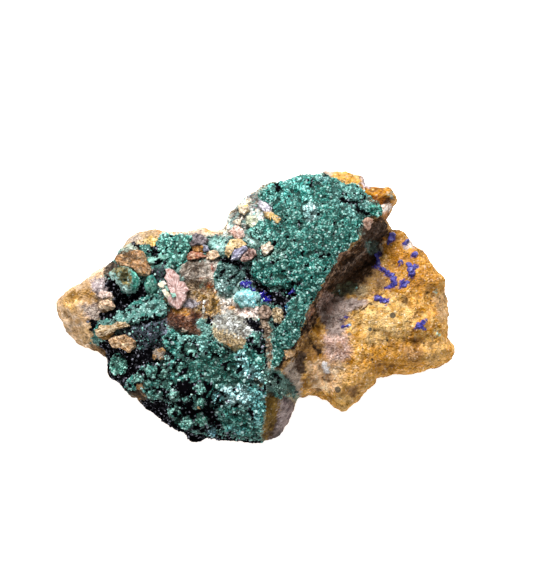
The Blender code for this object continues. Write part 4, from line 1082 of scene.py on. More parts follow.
        # A few grains of the black coat get a painted glint.
        painted_glint = node("ShaderNodeMath", (blue, 18.0), operation="POWER")
        skin = node("ShaderNodeMix", {0: painted_glint, 6: rgba(self.goethite[0]), 7: rgba(self.goethite[1])},
                    data_type="RGBA")
        looks = grained
        for share, tone in (*layers, (filmed, film), (coated, skin)):
            looks = node("ShaderNodeMix", {0: share, 6: looks, 7: tone}, data_type="RGBA")
        rough = node("ShaderNodeMapRange", (coated, 0.0, 1.0, self.roughness, self.coat_roughness))
        high = node("ShaderNodeMath", (mottle, 0.5), operation="MULTIPLY")
        high = node("ShaderNodeMath", (cells, -self.grit, high), operation="MULTIPLY_ADD")
        high = node("ShaderNodeMath", (fine, 0.55, high), operation="MULTIPLY_ADD")
        bump = node("ShaderNodeBump", {"Height": high, "Distance": MM, "Strength": 1.0})
        shine = node("ShaderNodeMapRange", (coated, 0.0, 1.0, self.specular, 0.0))
        connect(shader, {"Base Color": looks, "Normal": bump, "Roughness": rough,
                         "Specular IOR Level": shine})
        return made


@dataclass(frozen=True)
class MalachiteFinish:
    """Malachite druse: small silky crystals, pale where powdery, with painted sparks and painted shade in the
    gaps.
    """

    name: str
    bloom_tone: str = "#b4e2d8"
    # The tone of the painted sparks of light on a few crystals.
    painted_spark_tone: str = "#e9fbf8"
    # The tone of the painted shade at the crystals' feet and in the pits.
    gap_shade_tone: str = "#0d2a22"
    # The black of the goethite coat, and the tone of its painted glints.
    goethite: tuple[str, str] = ("#060507", "#8e8e9c")
    mottle: float = 1.5
    powder: float = 0.8
    silk: float = 0.22
    roughness: float = 0.48
    specular: float = 0.18

    def material(self) -> Material:
        """Builds the material.

        Returns:
            The material.
        """
        made, node, shader, place = blank(self.name)
        paint, coat = (node("ShaderNodeAttribute", attribute_name=name).outputs["Color"]
                       for name in ("paint", "coat"))
        black_share = node("ShaderNodeSeparateColor", (coat,)).outputs["Red"]
        tone, tip, hollow = (node("ShaderNodeAttribute", attribute_name=name).outputs["Fac"]
                             for name in ("tone", "tip", "hollow"))
        mottle = node("ShaderNodeTexNoise",
                      {"Vector": place, "Scale": per(self.mottle), "Detail": 4.0, "Roughness": 0.6})
        silk = node("ShaderNodeTexNoise", {"Vector": place, "Scale": per(self.silk), "Detail": 2.0})
        # Each crystal has its own tone, and each patch of them.
        own = node("ShaderNodeMapRange", (tone, 0.0, 1.0, 0.45, 1.4))
        wide = node("ShaderNodeMapRange", (mottle, 0.3, 0.7, 0.62, 1.36))
        value = node("ShaderNodeMath", (own, wide), operation="MULTIPLY")
        rich = node("ShaderNodeMapRange", (tone, 0.0, 1.0, 1.6, 1.1))
        looks = node("ShaderNodeHueSaturation", {"Color": paint, "Saturation": rich, "Value": value})
        powder = node("ShaderNodeTexNoise",
                      {"Vector": place, "Scale": per(self.powder), "Detail": 6.0, "Roughness": 0.72})
        lifted = node("ShaderNodeMath", (tone, 0.16, powder), operation="MULTIPLY_ADD")
        bloom = node("ShaderNodeMapRange", (lifted, 0.61, 0.72, 0.0, 0.66))
        # A few crystals get a painted spark of light.
        painted_spark = node("ShaderNodeMapRange", (tone, 0.965, 0.98, 0.0, 0.38))
        # Painted shade between the crystals and in the pits.
        painted_gap_shade = node("ShaderNodeMapRange", (tip, 0.1, 0.7, 0.88, 0.0))
        deep = node("ShaderNodeMapRange", (hollow, 0.0, 0.2, 0.0, 0.9))
        edge = node("ShaderNodeMath", (black_share, mottle), operation="ADD")
        coated = node("ShaderNodeMapRange", (edge, 0.92, 1.08))
        # Where goethite coats the crust, a few crystals get a painted glint.
        painted_glint = node("ShaderNodeMath", (tone, 16.0), operation="POWER")
        skin = node("ShaderNodeMix", {0: painted_glint, 6: rgba(self.goethite[0]), 7: rgba(self.goethite[1])},
                    data_type="RGBA")
        dark = rgba(self.gap_shade_tone)
        for share, shade in ((bloom, rgba(self.bloom_tone)), (painted_spark, rgba(self.painted_spark_tone)), (painted_gap_shade, dark),
                             (deep, dark), (coated, skin)):
            looks = node("ShaderNodeMix", {0: share, 6: looks, 7: shade}, data_type="RGBA")
        shine = node("ShaderNodeMapRange", (coated, 0.0, 1.0, self.specular, 0.0))
        bump = node("ShaderNodeBump", {"Height": silk, "Distance": 0.1 * MM, "Strength": 1.0})
        connect(shader, {"Base Color": looks, "Normal": bump, "Roughness": self.roughness,
                         "Specular IOR Level": shine})
        return made


@dataclass(frozen=True)
class AzuriteFinish:
    """Azurite, grown as small tabular crystals: deep blue to violet-blue, a paler bloom in places, painted
    shade at the feet.
    """

    name: str
    deep: str = "#19156c"
    light: str = "#3c37ac"
    bloom: str = "#968fd0"
    bloom_share: float = 0.18
    roughness: float = 0.5
    mottle: float = 0.9
    gap_shade_tone: str = "#0b0a2c"
    ior: float = 1.73

    def material(self) -> Material:
        """Builds the material.

        Returns:
            The material.
        """
        made, node, shader, place = blank(self.name)
        tone, tip = (node("ShaderNodeAttribute", attribute_name=name).outputs["Fac"]
                     for name in ("tone", "tip"))
        mottle = node("ShaderNodeTexNoise", {"Vector": place, "Scale": per(self.mottle), "Detail": 4.0})
        looks = node("ShaderNodeMix", {0: tone, 6: rgba(self.deep), 7: rgba(self.light)}, data_type="RGBA")
        bloom = node("ShaderNodeMapRange", (mottle, 0.5, 0.66, 0.0, self.bloom_share))
        looks = node("ShaderNodeMix", {0: bloom, 6: looks, 7: rgba(self.bloom)}, data_type="RGBA")
        # Painted shade at the crystals' feet.
        painted_gap_shade = node("ShaderNodeMapRange", (tip, 0.0, 0.6, 0.9, 0.0))
        looks = node("ShaderNodeMix", {0: painted_gap_shade, 6: looks, 7: rgba(self.gap_shade_tone)}, data_type="RGBA")
        bump = node("ShaderNodeBump", {"Height": mottle, "Distance": 0.2 * MM, "Strength": 0.8})
        connect(shader, {"Base Color": looks, "Normal": bump, "Roughness": self.roughness, "IOR": self.ior})
        return made


@dataclass(frozen=True)
class FeldsparFinish:
    """Feldspar, cleaved: pink and pearly, with fine steps and painted shade in its creases."""

    name: str = "pink_feldspar"
    step: float = 1.0
    mottle: float = 1.1
    crease_shade_tone: str = "#8c625a"
    roughness: float = 0.5

    def material(self) -> Material:
        """Builds the material.

        Returns:
            The material.
        """
        made, node, shader, place = blank(self.name)
        paint = node("ShaderNodeAttribute", attribute_name="paint").outputs["Color"]
        hollow = node("ShaderNodeAttribute", attribute_name="hollow").outputs["Fac"]
        turned = node("ShaderNodeMapping",
                      {"Vector": place, "Rotation": (0.2, 0.5, 0.7), "Scale": (1.0, 1.4, 1.0)})
        steps = node("ShaderNodeTexVoronoi", {"Vector": turned, "Scale": per(self.step)})
        mottle = node("ShaderNodeTexNoise", {"Vector": place, "Scale": per(self.mottle), "Detail": 5.0})
        value = node("ShaderNodeMapRange", (mottle, 0.3, 0.7, 0.72, 1.2))
        looks = node("ShaderNodeHueSaturation", {"Color": paint, "Value": value})
        # Painted shade: the creases are darkened by how deep they lie.
        crease_shade = node("ShaderNodeMapRange", (hollow, 0.01, 0.1, 0.0, 0.75))
        looks = node("ShaderNodeMix", {0: crease_shade, 6: looks, 7: rgba(self.crease_shade_tone)}, data_type="RGBA")
        high = node("ShaderNodeMath", (steps, -0.15), operation="MULTIPLY")
        bump = node("ShaderNodeBump", {"Height": high, "Distance": MM, "Strength": 0.8})
        connect(shader, {"Base Color": looks, "Normal": bump, "Roughness": self.roughness})
        return made


@dataclass(frozen=True)
class BoardFinish:
    """Painted board: white and smooth, almost without relief, so that the specimen stands alone."""

    tone: str = "#fbfbfb"
    glow: float = 0.85
    roughness: float = 0.7
    grain: float = 2.0

    def material(self) -> Material:
        """Builds the material.

        Returns:
            The material.
        """
        made, node, shader, place = blank("white_board")
        grain = node("ShaderNodeTexNoise", {"Vector": place, "Scale": per(self.grain)})
        bump = node("ShaderNodeBump", {"Height": grain, "Distance": 0.01 * MM})
        connect(shader, {"Base Color": rgba(self.tone), "Roughness": self.roughness, "Normal": bump,
                         "Emission Color": rgba("#ffffff"), "Emission Strength": self.glow})
        return made


# Crystals


class Habit(Enum):
    """The crystals that a druse is made of."""

    SUGAR = "sugar"
    BUD = "bud"
    BLADE = "blade"


@dataclass(frozen=True)
class CrystalSet:
    """A few crystals of one habit, about 1 mm across, for a druse to repeat."""

    habit: Habit
    variants: int = 7
    corners: int = 9

    def shape(self, dice: random.Random) -> BMesh:
        """Shapes one crystal, standing on its origin.

        Args:
            dice: for its own slant or corners.

        Returns:
            The form.
        """
        form = bmesh.new()
        if self.habit is Habit.BLADE:
            bmesh.ops.create_cone(form, cap_ends=True, segments=6, radius1=0.5, radius2=0.36, depth=0.9)
            slant = dice.uniform(-0.4, 0.4)
            for vertex in form.verts:
                vertex.co.y *= 0.42
                if vertex.co.z > 0:
                    vertex.co.z += slant * vertex.co.x
            return form
        for i in range(self.corners):
            level = 1 - 2 * (i + 0.5) / self.corners
            angle = i * GOLDEN_ANGLE + dice.uniform(-0.35, 0.35)
            ring = math.sqrt(1 - level * level)
            reach = 0.5 * dice.uniform(0.75, 1.15)
            form.verts.new((ring * math.cos(angle) * reach, ring * math.sin(angle) * reach, level * reach))
        bmesh.ops.convex_hull(form, input=form.verts)
        tall = 0.95 if self.habit is Habit.BUD else 1.3
        for vertex in form.verts:
            vertex.co.z *= tall
        return form

    def build(self) -> Collection:
        """Builds the crystals.

        Returns:
            A collection of them as objects.
        """
        home = bpy.data.collections.new(self.habit.value)
        bpy.context.scene.collection.children.link(home)
        for number in range(self.variants):
            form = self.shape(random.Random(SEED * 100 + number))
            bmesh.ops.recalc_face_normals(form, faces=form.faces)
            mesh = mesh_from(form, self.habit.value)
            heights = points_of(mesh)[:, 2] * MM
            # How high each point stands on its crystal; the finishes paint shade at the foot by it.
            store(mesh, "tip", np.clip(heights + 0.5, 0.02, 1.0))
            home.objects.link(bpy.data.objects.new(f"{self.habit.value}_{number}", mesh))
        return home


class DruseTree:
    """Geometry Nodes that grow crystals over a surface, each with its own turn, size and tone."""

    def __init__(self) -> None:
        """Builds the tree with its named inputs."""
        self.tree = bpy.data.node_groups.new("druse", "GeometryNodeTree")
        face = self.tree.interface
        face.new_socket("Surface", in_out="INPUT", socket_type="NodeSocketGeometry")
        self.sockets = {
            name: face.new_socket(name, in_out="INPUT", socket_type=kind).identifier
            for name, kind in (
                ("Crystals", "NodeSocketCollection"), ("Spacing", "NodeSocketFloat"),
                ("Smallest", "NodeSocketFloat"), ("Largest", "NodeSocketFloat"), ("Lean", "NodeSocketFloat"),
                ("Seed", "NodeSocketInt"), ("Keep Surface", "NodeSocketBool"),
                ("Finish", "NodeSocketMaterial"),
            )
        }
        face.new_socket("Druse", in_out="OUTPUT", socket_type="NodeSocketGeometry")
        self.lay_out()

    def lay_out(self) -> None:
        """Adds the nodes: points on the surface, crystals on the points, and one mesh at the end."""
        node = partial(add_node, self.tree)
        given = node("NodeGroupInput").outputs
        cover, size = (node("GeometryNodeInputNamedAttribute", {"Name": name}, data_type="FLOAT")
                       for name in ("cover", "size"))
        points = node("GeometryNodeDistributePointsOnFaces", {
            "Mesh": given["Surface"], "Distance Min": given["Spacing"], "Density Max": 4.0e7,
            "Density Factor": cover, "Seed": given["Seed"],
        }, distribute_method="POISSON")
        swing = node("FunctionNodeRandomValue", {"Min": (-1.0, -1.0, -1.0), "Max": (1.0, 1.0, 1.0),
                                                 "Seed": given["Seed"]}, data_type="FLOAT_VECTOR")
        lean = node("ShaderNodeCombineXYZ", (given["Lean"], given["Lean"], math.pi))
        turn = node("ShaderNodeVectorMath", (swing, lean), operation="MULTIPLY")
        euler = node("FunctionNodeEulerToRotation", (turn,))
        stand = node("FunctionNodeRotateRotation", (points.outputs["Rotation"], euler),
                     rotation_space="LOCAL")
        chance = node("FunctionNodeRandomValue", {2: 0.0, 3: 1.0, "Seed": given["Seed"]}, data_type="FLOAT")
        rare = node("ShaderNodeMath", (chance.outputs[1], 2.2), operation="POWER")
        length = node("ShaderNodeMapRange", (rare, 0.0, 1.0, given["Smallest"], given["Largest"]))
        scaled = node("ShaderNodeMath", (length, size), operation="MULTIPLY")
        stretch = node("FunctionNodeRandomValue", {"Min": (0.75, 0.75, 0.75), "Max": (1.25, 1.25, 1.25),
                                                   "Seed": given["Seed"]}, data_type="FLOAT_VECTOR")
        sizes = node("ShaderNodeVectorMath", {0: stretch, "Scale": scaled}, operation="SCALE")
        kinds = node("GeometryNodeCollectionInfo",
                     {"Collection": given["Crystals"], "Separate Children": True, "Reset Children": True})
        which = node("FunctionNodeRandomValue", {"Min": 0, "Max": 99, "Seed": given["Seed"]}, data_type="INT")
        grown = node("GeometryNodeInstanceOnPoints", {
            "Points": points, "Instance": kinds, "Pick Instance": True, "Instance Index": which.outputs[2],
            "Rotation": stand, "Scale": sizes,
        })
        tone = node("FunctionNodeRandomValue", {2: 0.0, 3: 1.0, "Seed": given["Seed"]}, data_type="FLOAT")
        toned = node("GeometryNodeStoreNamedAttribute",
                     {"Geometry": grown, "Name": "tone", "Value": tone.outputs[1]},
                     data_type="FLOAT", domain="INSTANCE")
        real = node("GeometryNodeRealizeInstances", (toned,))
        kept = node("GeometryNodeSwitch", {"Switch": given["Keep Surface"], "True": given["Surface"]},
                    input_type="GEOMETRY")
        whole = node("GeometryNodeJoinGeometry", (kept,))
        connect(whole, (real,))
        dressed = node("GeometryNodeSetMaterial", {"Geometry": whole, "Material": given["Finish"]})
        node("NodeGroupOutput", (dressed,))


@dataclass(frozen=True)
class Growth:
    """What a druse grows from: the tree, the crystals that it repeats, its material and its random seed."""

    tree: DruseTree
    crystals: Collection
    finish: Material
    seed: int

    def over(self, surface: Object, spacing: float, sizes: tuple[float, float], lean: float,
             keep: bool = False) -> Mesh:
        """Grows a druse and makes it a plain mesh.

        Args:
            surface: the object with "cover" and "size" on its vertices.
            spacing: how far apart the crystals stand at least, in millimetres.
            sizes: the smallest and the largest, in millimetres.
            lean: how far they may lean, in radians.
            keep: whether the surface is kept below them.

        Returns:
            The mesh, which is then the object's own.
        """
        step = surface.modifiers.new("druse", "NODES")
        step.node_group = self.tree.tree
        values = {
            "Crystals": self.crystals, "Finish": self.finish, "Seed": self.seed, "Keep Surface": keep,
            "Spacing": spacing * MM, "Smallest": sizes[0] * MM, "Largest": sizes[1] * MM, "Lean": lean,
        }
        for name, value in values.items():
            step[self.tree.sockets[name]] = value
        return applied(surface)


# The host rock


@dataclass
class HostRock:
    """The limonite rock: one fine closed surface, broken and pitted, with its stains and some painted light
    and shade.
    """

    voxel: float = 0.39
    bed_fill: float = 0.8
    bed_drop: float = 1.7
    relief: Relief = ((4.6, 0.5, CELLS), (2.2, 0.34, PERLIN), (1.1, 0.2, PERLIN), (0.75, 0.16, CELLS))
    foot_height: float = 0.2
    overhang: float = 0.6
    patches: tuple[Patch, ...] = ROCK_PATCHES
    mesh: Mesh | None = None
    ground: Ground | None = None

    def shape(self, nodes: dict[str, Object]) -> Mesh:
        """Fills up the rock's beds below the crusts, and breaks up its surface.

        Args:
            nodes: all CAD nodes by name.

        Returns:
            The rock's mesh.
        """
        parts = [welded(nodes["host_rock"].data)]
        for name, node in nodes.items():
            if name.startswith("azurite"):
                parts.append(welded(node.data, 0.45, 0.75))
            elif name != "host_rock":
                parts.append(welded(node.data, self.bed_fill, self.bed_drop))
        mesh = even_mesh("host_rock_surface", parts, self.voxel)
        points = points_of(mesh)
        foot = points[:, 2] < self.foot_height
        low, high = (np.array(corner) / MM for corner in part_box("host_rock"))
        low[:2] -= self.overhang
        high[:2] += self.overhang
        points = nudged(neighbours_mean(mesh, points, 4))
        set_points(mesh, points)
        points = np.clip(roughened(mesh, points, self.relief, 2.0, anew=True), low, high)
        points[foot, 2] = 0.0
        set_points(mesh, points)
        return mesh

    def build(self, nodes: dict[str, Object], finish: LimoniteFinish) -> None:
        """Shapes the rock, paints its stains and its painted light and shade, and hands it over.

        Args:
            nodes: all CAD nodes by name.
            finish: its finish, which also draws the dots of the ledge.
        """
        self.mesh = self.shape(nodes)
        Painter(self.patches, ROCK_BASE).paint(self.mesh)
        # How deep each point lies, for the painted shade in the hollows.
        store(self.mesh, "hollow", hollows(self.mesh, 14))
        self.mesh.shade_smooth()
        self.ground = Ground(self.mesh)
        self.mesh.materials.clear()
        dots = ((self.ground.under(*dot.at)[0], dot) for dot in LEDGE_DOTS)
        self.mesh.materials.append(finish.material(dots))
        give(new_object("host_rock_surface", self.mesh), "limonite_rock", "host_rock")


# The crusts


@dataclass(frozen=True)
class Knob:
    """A rounded knob on a crust: where it shows in the photograph, its radius and height in millimetres."""

    px: float
    py: float
    radius: float
    height: float
    tones: str = "#5f8c84 #8fbab0 #7fa89e #a5cabf"
    shade: float = 0.92

    def circle(self, reach: float) -> str:
        """Draws an outline round the knob.

        Args:
            reach: how far out it lies, as a share of the knob's radius.

        Returns:
            The outline's pixels as text.
        """
        far = self.radius / PLAN.mm_per_pixel * reach
        turns = [i * math.tau / 9 for i in range(9)]
        return " ".join(f"{self.px + far * math.cos(t):.1f},{self.py + far * math.sin(t):.1f}" for t in turns)

    def ring(self) -> Patch:
        """Painted shade round the knob's foot, laid as a goethite coat."""
        return black(self.circle(1.5), "#0c0f0e", share=self.shade)

    def disc(self) -> Patch:
        """The knob's own green."""
        return Patch(self.tones, self.circle(1.06), cell=1.2)

    def lump(self, ground: Ground) -> Mesh:
        """Shapes the knob as a round lump, half sunk in what lies below it.

        Args:
            ground: the surface that it sits on.

        Returns:
            The closed mesh.
        """
        place, _ = ground.under(self.px, self.py)
        form = bmesh.new()
        bmesh.ops.create_icosphere(form, subdivisions=2, radius=1.0)
        spread = Matrix.Diagonal((self.radius * MM, self.radius * MM, self.height * MM, 1.0))
        form.transform(Matrix.Translation(place * MM) @ spread)
        return mesh_from(form, "knob")


@dataclass
class MalachiteCrust:
    """A crust of malachite: its own body, drawn finer, and the druse that grows on it."""

    node: str
    habit: Habit = Habit.SUGAR
    spacing: float = 0.3
    sizes: tuple[float, float] = (0.32, 0.8)
    lean: float = 1.4
    voxel: float = 0.34
    grow: float = 0.3
    bareness: float = 0.2
    skin: float = 0.12
    black_share: float = 0.12
    black_size: float = 1.3
    relief: tuple[tuple[float, float], ...] = ((2.6, 0.45), (1.4, 0.55), (0.8, 0.25))
    slot: str = "malachite"
    knobs: tuple[Knob, ...] = ()

    def body(self, node: Object, ground: Ground) -> Mesh:
        """Shapes the crust's own body: knobbly, with pits between the knobs.

        Args:
            node: the CAD node that the crust stands for.
            ground: the rock's surface, for the knobs.

        Returns:
            The body's mesh.
        """
        parts = [welded(node.data, self.grow)] + [knob.lump(ground) for knob in self.knobs]
        mesh = even_mesh(self.node, parts, self.voxel)
        points = nudged(neighbours_mean(mesh, points_of(mesh), 3))
        for size, depth in self.relief:
            points = points + normals_of(mesh) * (depth * noise_at(points, size, 4.0))[:, None]
            set_points(mesh, points)
        low, _ = (np.array(corner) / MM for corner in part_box(self.node))
        points[:, 2] = np.maximum(points[:, 2], low[2])
        set_points(mesh, points)
        return mesh

    def build(self, node: Object, ground: Ground, growth: Growth) -> None:
        """Grows the druse on the body and hands the piece over.

        Args:
            node: the CAD node that the crust stands for.
            ground: the rock's surface, for the knobs.
            growth: what the druse grows from.
        """
        mesh = self.body(node, ground)
        rings, discs = tuple(knob.ring() for knob in self.knobs), tuple(knob.disc() for knob in self.knobs)
        painter = Painter(CRUST_PATCHES + rings + discs, CRUST_BASE, base_cell=3.0,
                          black_share=self.black_share, black_size=self.black_size)
        painter.paint(mesh)
        points, up = points_of(mesh), normals_of(mesh)[:, 2]
        gaps = smooth_step((noise_at(points, 1.1, 8.0) + 0.62 - self.bareness) / 0.25)
        black = coats_of(mesh)[:, 0]
        store(mesh, "cover", np.clip(smooth_step((up + 0.25) / 0.3) * gaps * (1 - 0.5 * black), 0.0, 1.0))
        store(mesh, "size", (1.0 + 0.35 * noise_at(points, 2.2, 12.0)) * (1 - 0.4 * black))
        # How deep each point lies, for the painted shade in the pits.
        store(mesh, "hollow", hollows(mesh, 16))
        # The body between the crystals counts as their foot, and gets painted gap shade by this much.
        store(mesh, "tip", np.full(len(points), self.skin))
        store(mesh, "tone", np.full(len(points), 0.5))
        mesh.shade_smooth()
        piece = new_object(self.node + "_druse", mesh)
        mesh = growth.over(piece, self.spacing, self.sizes, self.lean, keep=True)
        painter.paint(mesh)
        above_floor(mesh)
        give(piece, self.slot, self.node)


@dataclass
class Dusting:
    """Small crystals that grow on the rock itself, where a coat covers it."""

    name: str
    channel: int
    spacing: float
    sizes: tuple[float, float]
    slot: str
    tones: str
    black: bool = False
    least: float = 0.35
    lean: float = 1.2

    def build(self, rock: Mesh, growth: Growth) -> None:
        """Grows the crystals on a copy of the rock's surface, which isn't kept, and hands them over.

        Args:
            rock: the rock's mesh.
            growth: what the crystals grow from.
        """
        mesh = rock.copy()
        share = coats_of(mesh)[:, self.channel]
        points = points_of(mesh)
        patchy = 0.5 + noise_at(points, 1.5, 21.0)
        cover = np.clip((share - self.least) / (1 - self.least), 0, 1) * np.clip(patchy, 0.15, 1)
        store(mesh, "cover", cover)
        store(mesh, "size", 1.0 + 0.3 * noise_at(points, 2.0, 33.0))
        piece = new_object(self.name, mesh)
        mesh = growth.over(piece, self.spacing, self.sizes, self.lean)
        tones = blotches(points_of(mesh), self.tones, 1.6)
        store_paint(mesh, tones)
        store(mesh, "coat", np.tile((float(self.black), 0.0, 0.0, 1.0), (len(tones), 1)))
        above_floor(mesh)
        give(piece, self.slot)


# Azurite, flake and fragments


@dataclass
class AzuriteGroup:
    """A patch of azurite: its CAD crystals drawn finer, and small blades inside its outlines in the photo."""

    node: str
    outlines: tuple[str, ...]
    sizes: tuple[float, float]
    bright: bool
    spacing: float = 0.36
    lean: float = 1.1
    core_voxel: float = 0.22
    core_relief: Relief = ((0.8, 0.3, CELLS),)

    def stains(self) -> tuple[Patch, ...]:
        """The blue that shows on the rock between the crystals."""
        tones = "#1d1870 #2c2690" if self.bright else "#3a3890 #504cab"
        return tuple(Patch(tones, outline, soft=1.5) for outline in self.outlines)

    def inside(self, mesh: Mesh) -> np.ndarray:
        """How many pixels inside one of the outlines each vertex shows."""
        seen = PLAN.pixels(points_of(mesh))
        return np.max([inside_by(seen, spots(outline)) for outline in self.outlines], axis=0)

    def bed(self, rock: Mesh) -> Mesh:
        """Cuts out the part of the rock's surface that shows inside the outlines.

        Args:
            rock: the rock's mesh.

        Returns:
            That part as a mesh of its own.
        """
        facing = normals_of(rock) @ np.array(PLAN.towards_viewer()) > 0.1
        keep = (self.inside(rock) > -1.2) & facing
        form = bmesh.new()
        form.from_mesh(rock)
        form.verts.ensure_lookup_table()
        bmesh.ops.delete(form, geom=[v for v in form.verts if not keep[v.index]], context="VERTS")
        return mesh_from(form, self.node)

    def build(self, node: Object, rock: Mesh, growth: Growth) -> None:
        """Grows the blades, joins them to the CAD crystals' own form and hands the piece over.

        Args:
            node: the CAD node that the group stands for.
            rock: the rock's mesh.
            growth: what the blades grow from.
        """
        bed = self.bed(rock)
        inside = self.inside(bed)
        store(bed, "cover", smooth_step(0.5 + inside / 0.8))
        store(bed, "size", 0.8 + 0.3 * smooth_step(inside / 3))
        piece = new_object(self.node + "_crystals", bed)
        mesh = growth.over(piece, self.spacing, self.sizes, self.lean)
        core = even_mesh(self.node + "_core", [welded(node.data)], self.core_voxel)
        core_points = nudged(points_of(core))
        roughened(core, core_points, self.core_relief, 3.0)
        store(core, "tone", np.clip(0.5 + 0.8 * noise_at(core_points, 0.8, 9.0), 0, 1))
        # Half-way up, so the cores take a little of the painted shade all over.
        store(core, "tip", np.full(len(core_points), 0.5))
        form = bmesh.new()
        form.from_mesh(mesh)
        form.from_mesh(core)
        form.to_mesh(mesh)
        form.free()
        mesh.materials.clear()
        mesh.materials.append(growth.finish)
        mesh.polygons.foreach_set("material_index", [0] * len(mesh.polygons))
        give(piece, "azurite", self.node)


@dataclass(frozen=True)
class Fragment:
    """A stone that the limonite has cemented in: its tones, outline in pixels and height in millimetres."""

    tones: str
    outline: str
    height: float = 1.0
    top: float = 0.76
    cell: float = 1.1

    def painted_contact_shade(self, spread: float = 1.5) -> Patch:
        """Draws painted shade where the stone meets the rock: a dark line round its foot.

        Args:
            spread: how many pixels it reaches out from the stone.

        Returns:
            The line as a patch.
        """
        corners = np.array(spots(self.outline))
        away = corners - corners.mean(axis=0)
        grown = corners + spread * away / np.linalg.norm(away, axis=1)[:, None]
        outline = " ".join(f"{x:.1f},{y:.1f}" for x, y in grown)
        return Patch("#1b140f", outline, soft=2.5, share=0.7, coat=Coat.KEEP)

    def block(self, ground: Ground, dice: random.Random, cuts: tuple[int, ...]) -> Mesh:
        """The stone's body: an angular block over its outline, its foot sunk in the rock.

        Args:
            ground: the surface that it stands on.
            dice: for the chipped corners.
            cuts: how finely its faces are divided, step by step.

        Returns:
            The closed mesh.
        """
        corners = []
        given = spots(self.outline)
        for (ax, ay), (bx, by) in zip(given, given[1:] + given[:1]):
            corners.append((ax, ay))
            if math.hypot(bx - ax, by - ay) > 4.0:
                share = dice.uniform(0.35, 0.65)
                corners.append((ax + share * (bx - ax) + dice.uniform(-0.5, 0.5),
                                ay + share * (by - ay) + dice.uniform(-0.5, 0.5)))
        rim = np.array(corners)
        middle = rim.mean(axis=0)
        towards = PLAN.towards_viewer()
        around = np.vstack([rim, middle])
        depths = [(ground.under(*spot)[0] - PLAN.on_plane(*spot)).dot(towards) for spot in around]
        table = np.column_stack([np.ones(len(around)), around - middle])
        slope = np.linalg.lstsq(table, np.array(depths), rcond=None)[0]
        slope[1:] = np.clip(slope[1:], -0.2, 0.2)

        def corner(spot: np.ndarray, height: float) -> BMVert:
            """A corner of the block, by its pixel and its height over the ground."""
            depth = float(slope[0] + slope[1:] @ (spot - middle) + height)
            return form.verts.new((PLAN.on_plane(*spot) + depth * towards) * MM)

        form = bmesh.new()
        rings = [
            [corner(middle + 1.03 * (spot - middle), -1.2) for spot in rim],
            [corner(spot, self.height * dice.uniform(0.3, 0.5)) for spot in rim],
            [corner(middle + dice.uniform(self.top - 0.08, self.top + 0.08) * (spot - middle),
                    self.height * dice.uniform(0.85, 1.05)) for spot in rim],
        ]
        for lower, upper in zip(rings, rings[1:]):
            for i in range(len(rim)):
                j = (i + 1) % len(rim)
                form.faces.new((lower[i], lower[j], upper[j], upper[i]))
        form.faces.new(rings[0][::-1])
        peak = middle + dice.uniform(-0.2, 0.2) * (rim[0] - middle)
        crown = corner(peak, self.height * dice.uniform(1.0, 1.15))
        for i in range(len(rim)):
            form.faces.new((rings[2][i], rings[2][(i + 1) % len(rim)], crown))
        bmesh.ops.triangulate(form, faces=form.faces[:])
        for count in cuts:
            bmesh.ops.subdivide_edges(form, edges=form.edges[:], cuts=count, use_grid_fill=True)
        bmesh.ops.triangulate(form, faces=form.faces[:])
        bmesh.ops.recalc_face_normals(form, faces=form.faces)
        return mesh_from(form, "block")


@dataclass(frozen=True)
class Stones:
    """Angular, chipped blocks that stand on the rock and make one piece."""

    name: str
    slot: str
    fragments: tuple[Fragment, ...]
    cuts: tuple[int, ...]
    relief: Relief
    relief_shift: float
    tone_shift: float
    hollow_rounds: int
    seed: int
    coat: tuple[float, float, float, float] | None = None
    nodes: tuple[str, ...] = ()

    def stone(self, fragment: Fragment, dice: random.Random, ground: Ground) -> Mesh:
        """Shapes and paints one block in its place.

        Args:
            fragment: its outline and tones.
            dice: for its chipped corners.
            ground: the surface that it stands in.

        Returns:
            Its mesh.
        """
        mesh = fragment.block(ground, dice, self.cuts)
        points = roughened(mesh, points_of(mesh), self.relief, self.relief_shift)
        store_paint(mesh, blotches(points, fragment.tones, fragment.cell, self.tone_shift))
        if self.coat:
            store(mesh, "coat", np.tile(self.coat, (len(points), 1)))
        # How deep each point lies, for the painted shade in the creases.
        store(mesh, "hollow", hollows(mesh, self.hollow_rounds))
        return mesh

    def build(self, ground: Ground, finish: Material) -> None:
        """Joins the blocks to one piece and hands it over.

        Args:
            ground: the rock's surface.
            finish: the material.
        """
        blocks = (self.stone(fragment, random.Random(SEED * self.seed + number), ground)
                  for number, fragment in enumerate(self.fragments))
        mesh = joined(blocks, self.name)
        mesh.materials.append(finish)
        give(new_object(self.name, mesh), self.slot, *self.nodes)


# The pink flake: a cleaved slab, stepped, cracked and ragged at its rim, with pale lumps beside it.
SLAB = Fragment(
    "#8c625a #b6928a #d4bcb8 #9c746c #c8aaa4",
    "166,269.5 170,269 176,272 180,275.5 180.5,280 185.5,282 187,286.5 190,290 186.5,294 187,300 184,303.5 "
    "182,307 177.5,309.5 174,307 169.5,304 168,299 171,293 168,287 167.5,282 165,278 167,274",
    height=1.25, top=0.92, cell=0.7)

LUMPS: tuple[Fragment, ...] = (
    Fragment("#eadfce #d8ccb4", "158,284 161,281 165,281 167,284 164,288 160,288", 0.8),
    Fragment("#e6dcc8 #cfc2a8", "162,290 166,289 170,293 172,298 169,301 166,297", 0.7),
    Fragment("#5f7f74 #7fa496", "164,285 168,286 170,291 167,292", 0.6),
    Fragment("#84b4a4 #9cc8b8", "171,293 176,292.5 177,296.5 173,297.5", 1.5),
)

FLAKE = Stones(
    "feldspar_flake", "pink_feldspar", (SLAB, *LUMPS), cuts=(2, 2),
    relief=((1.6, 0.12, CELLS), (0.8, 0.06, CELLS), (0.4, 0.05, PERLIN)), relief_shift=6.0, tone_shift=0.0,
    hollow_rounds=6, seed=70, nodes=("pink_feldspar_chip",))

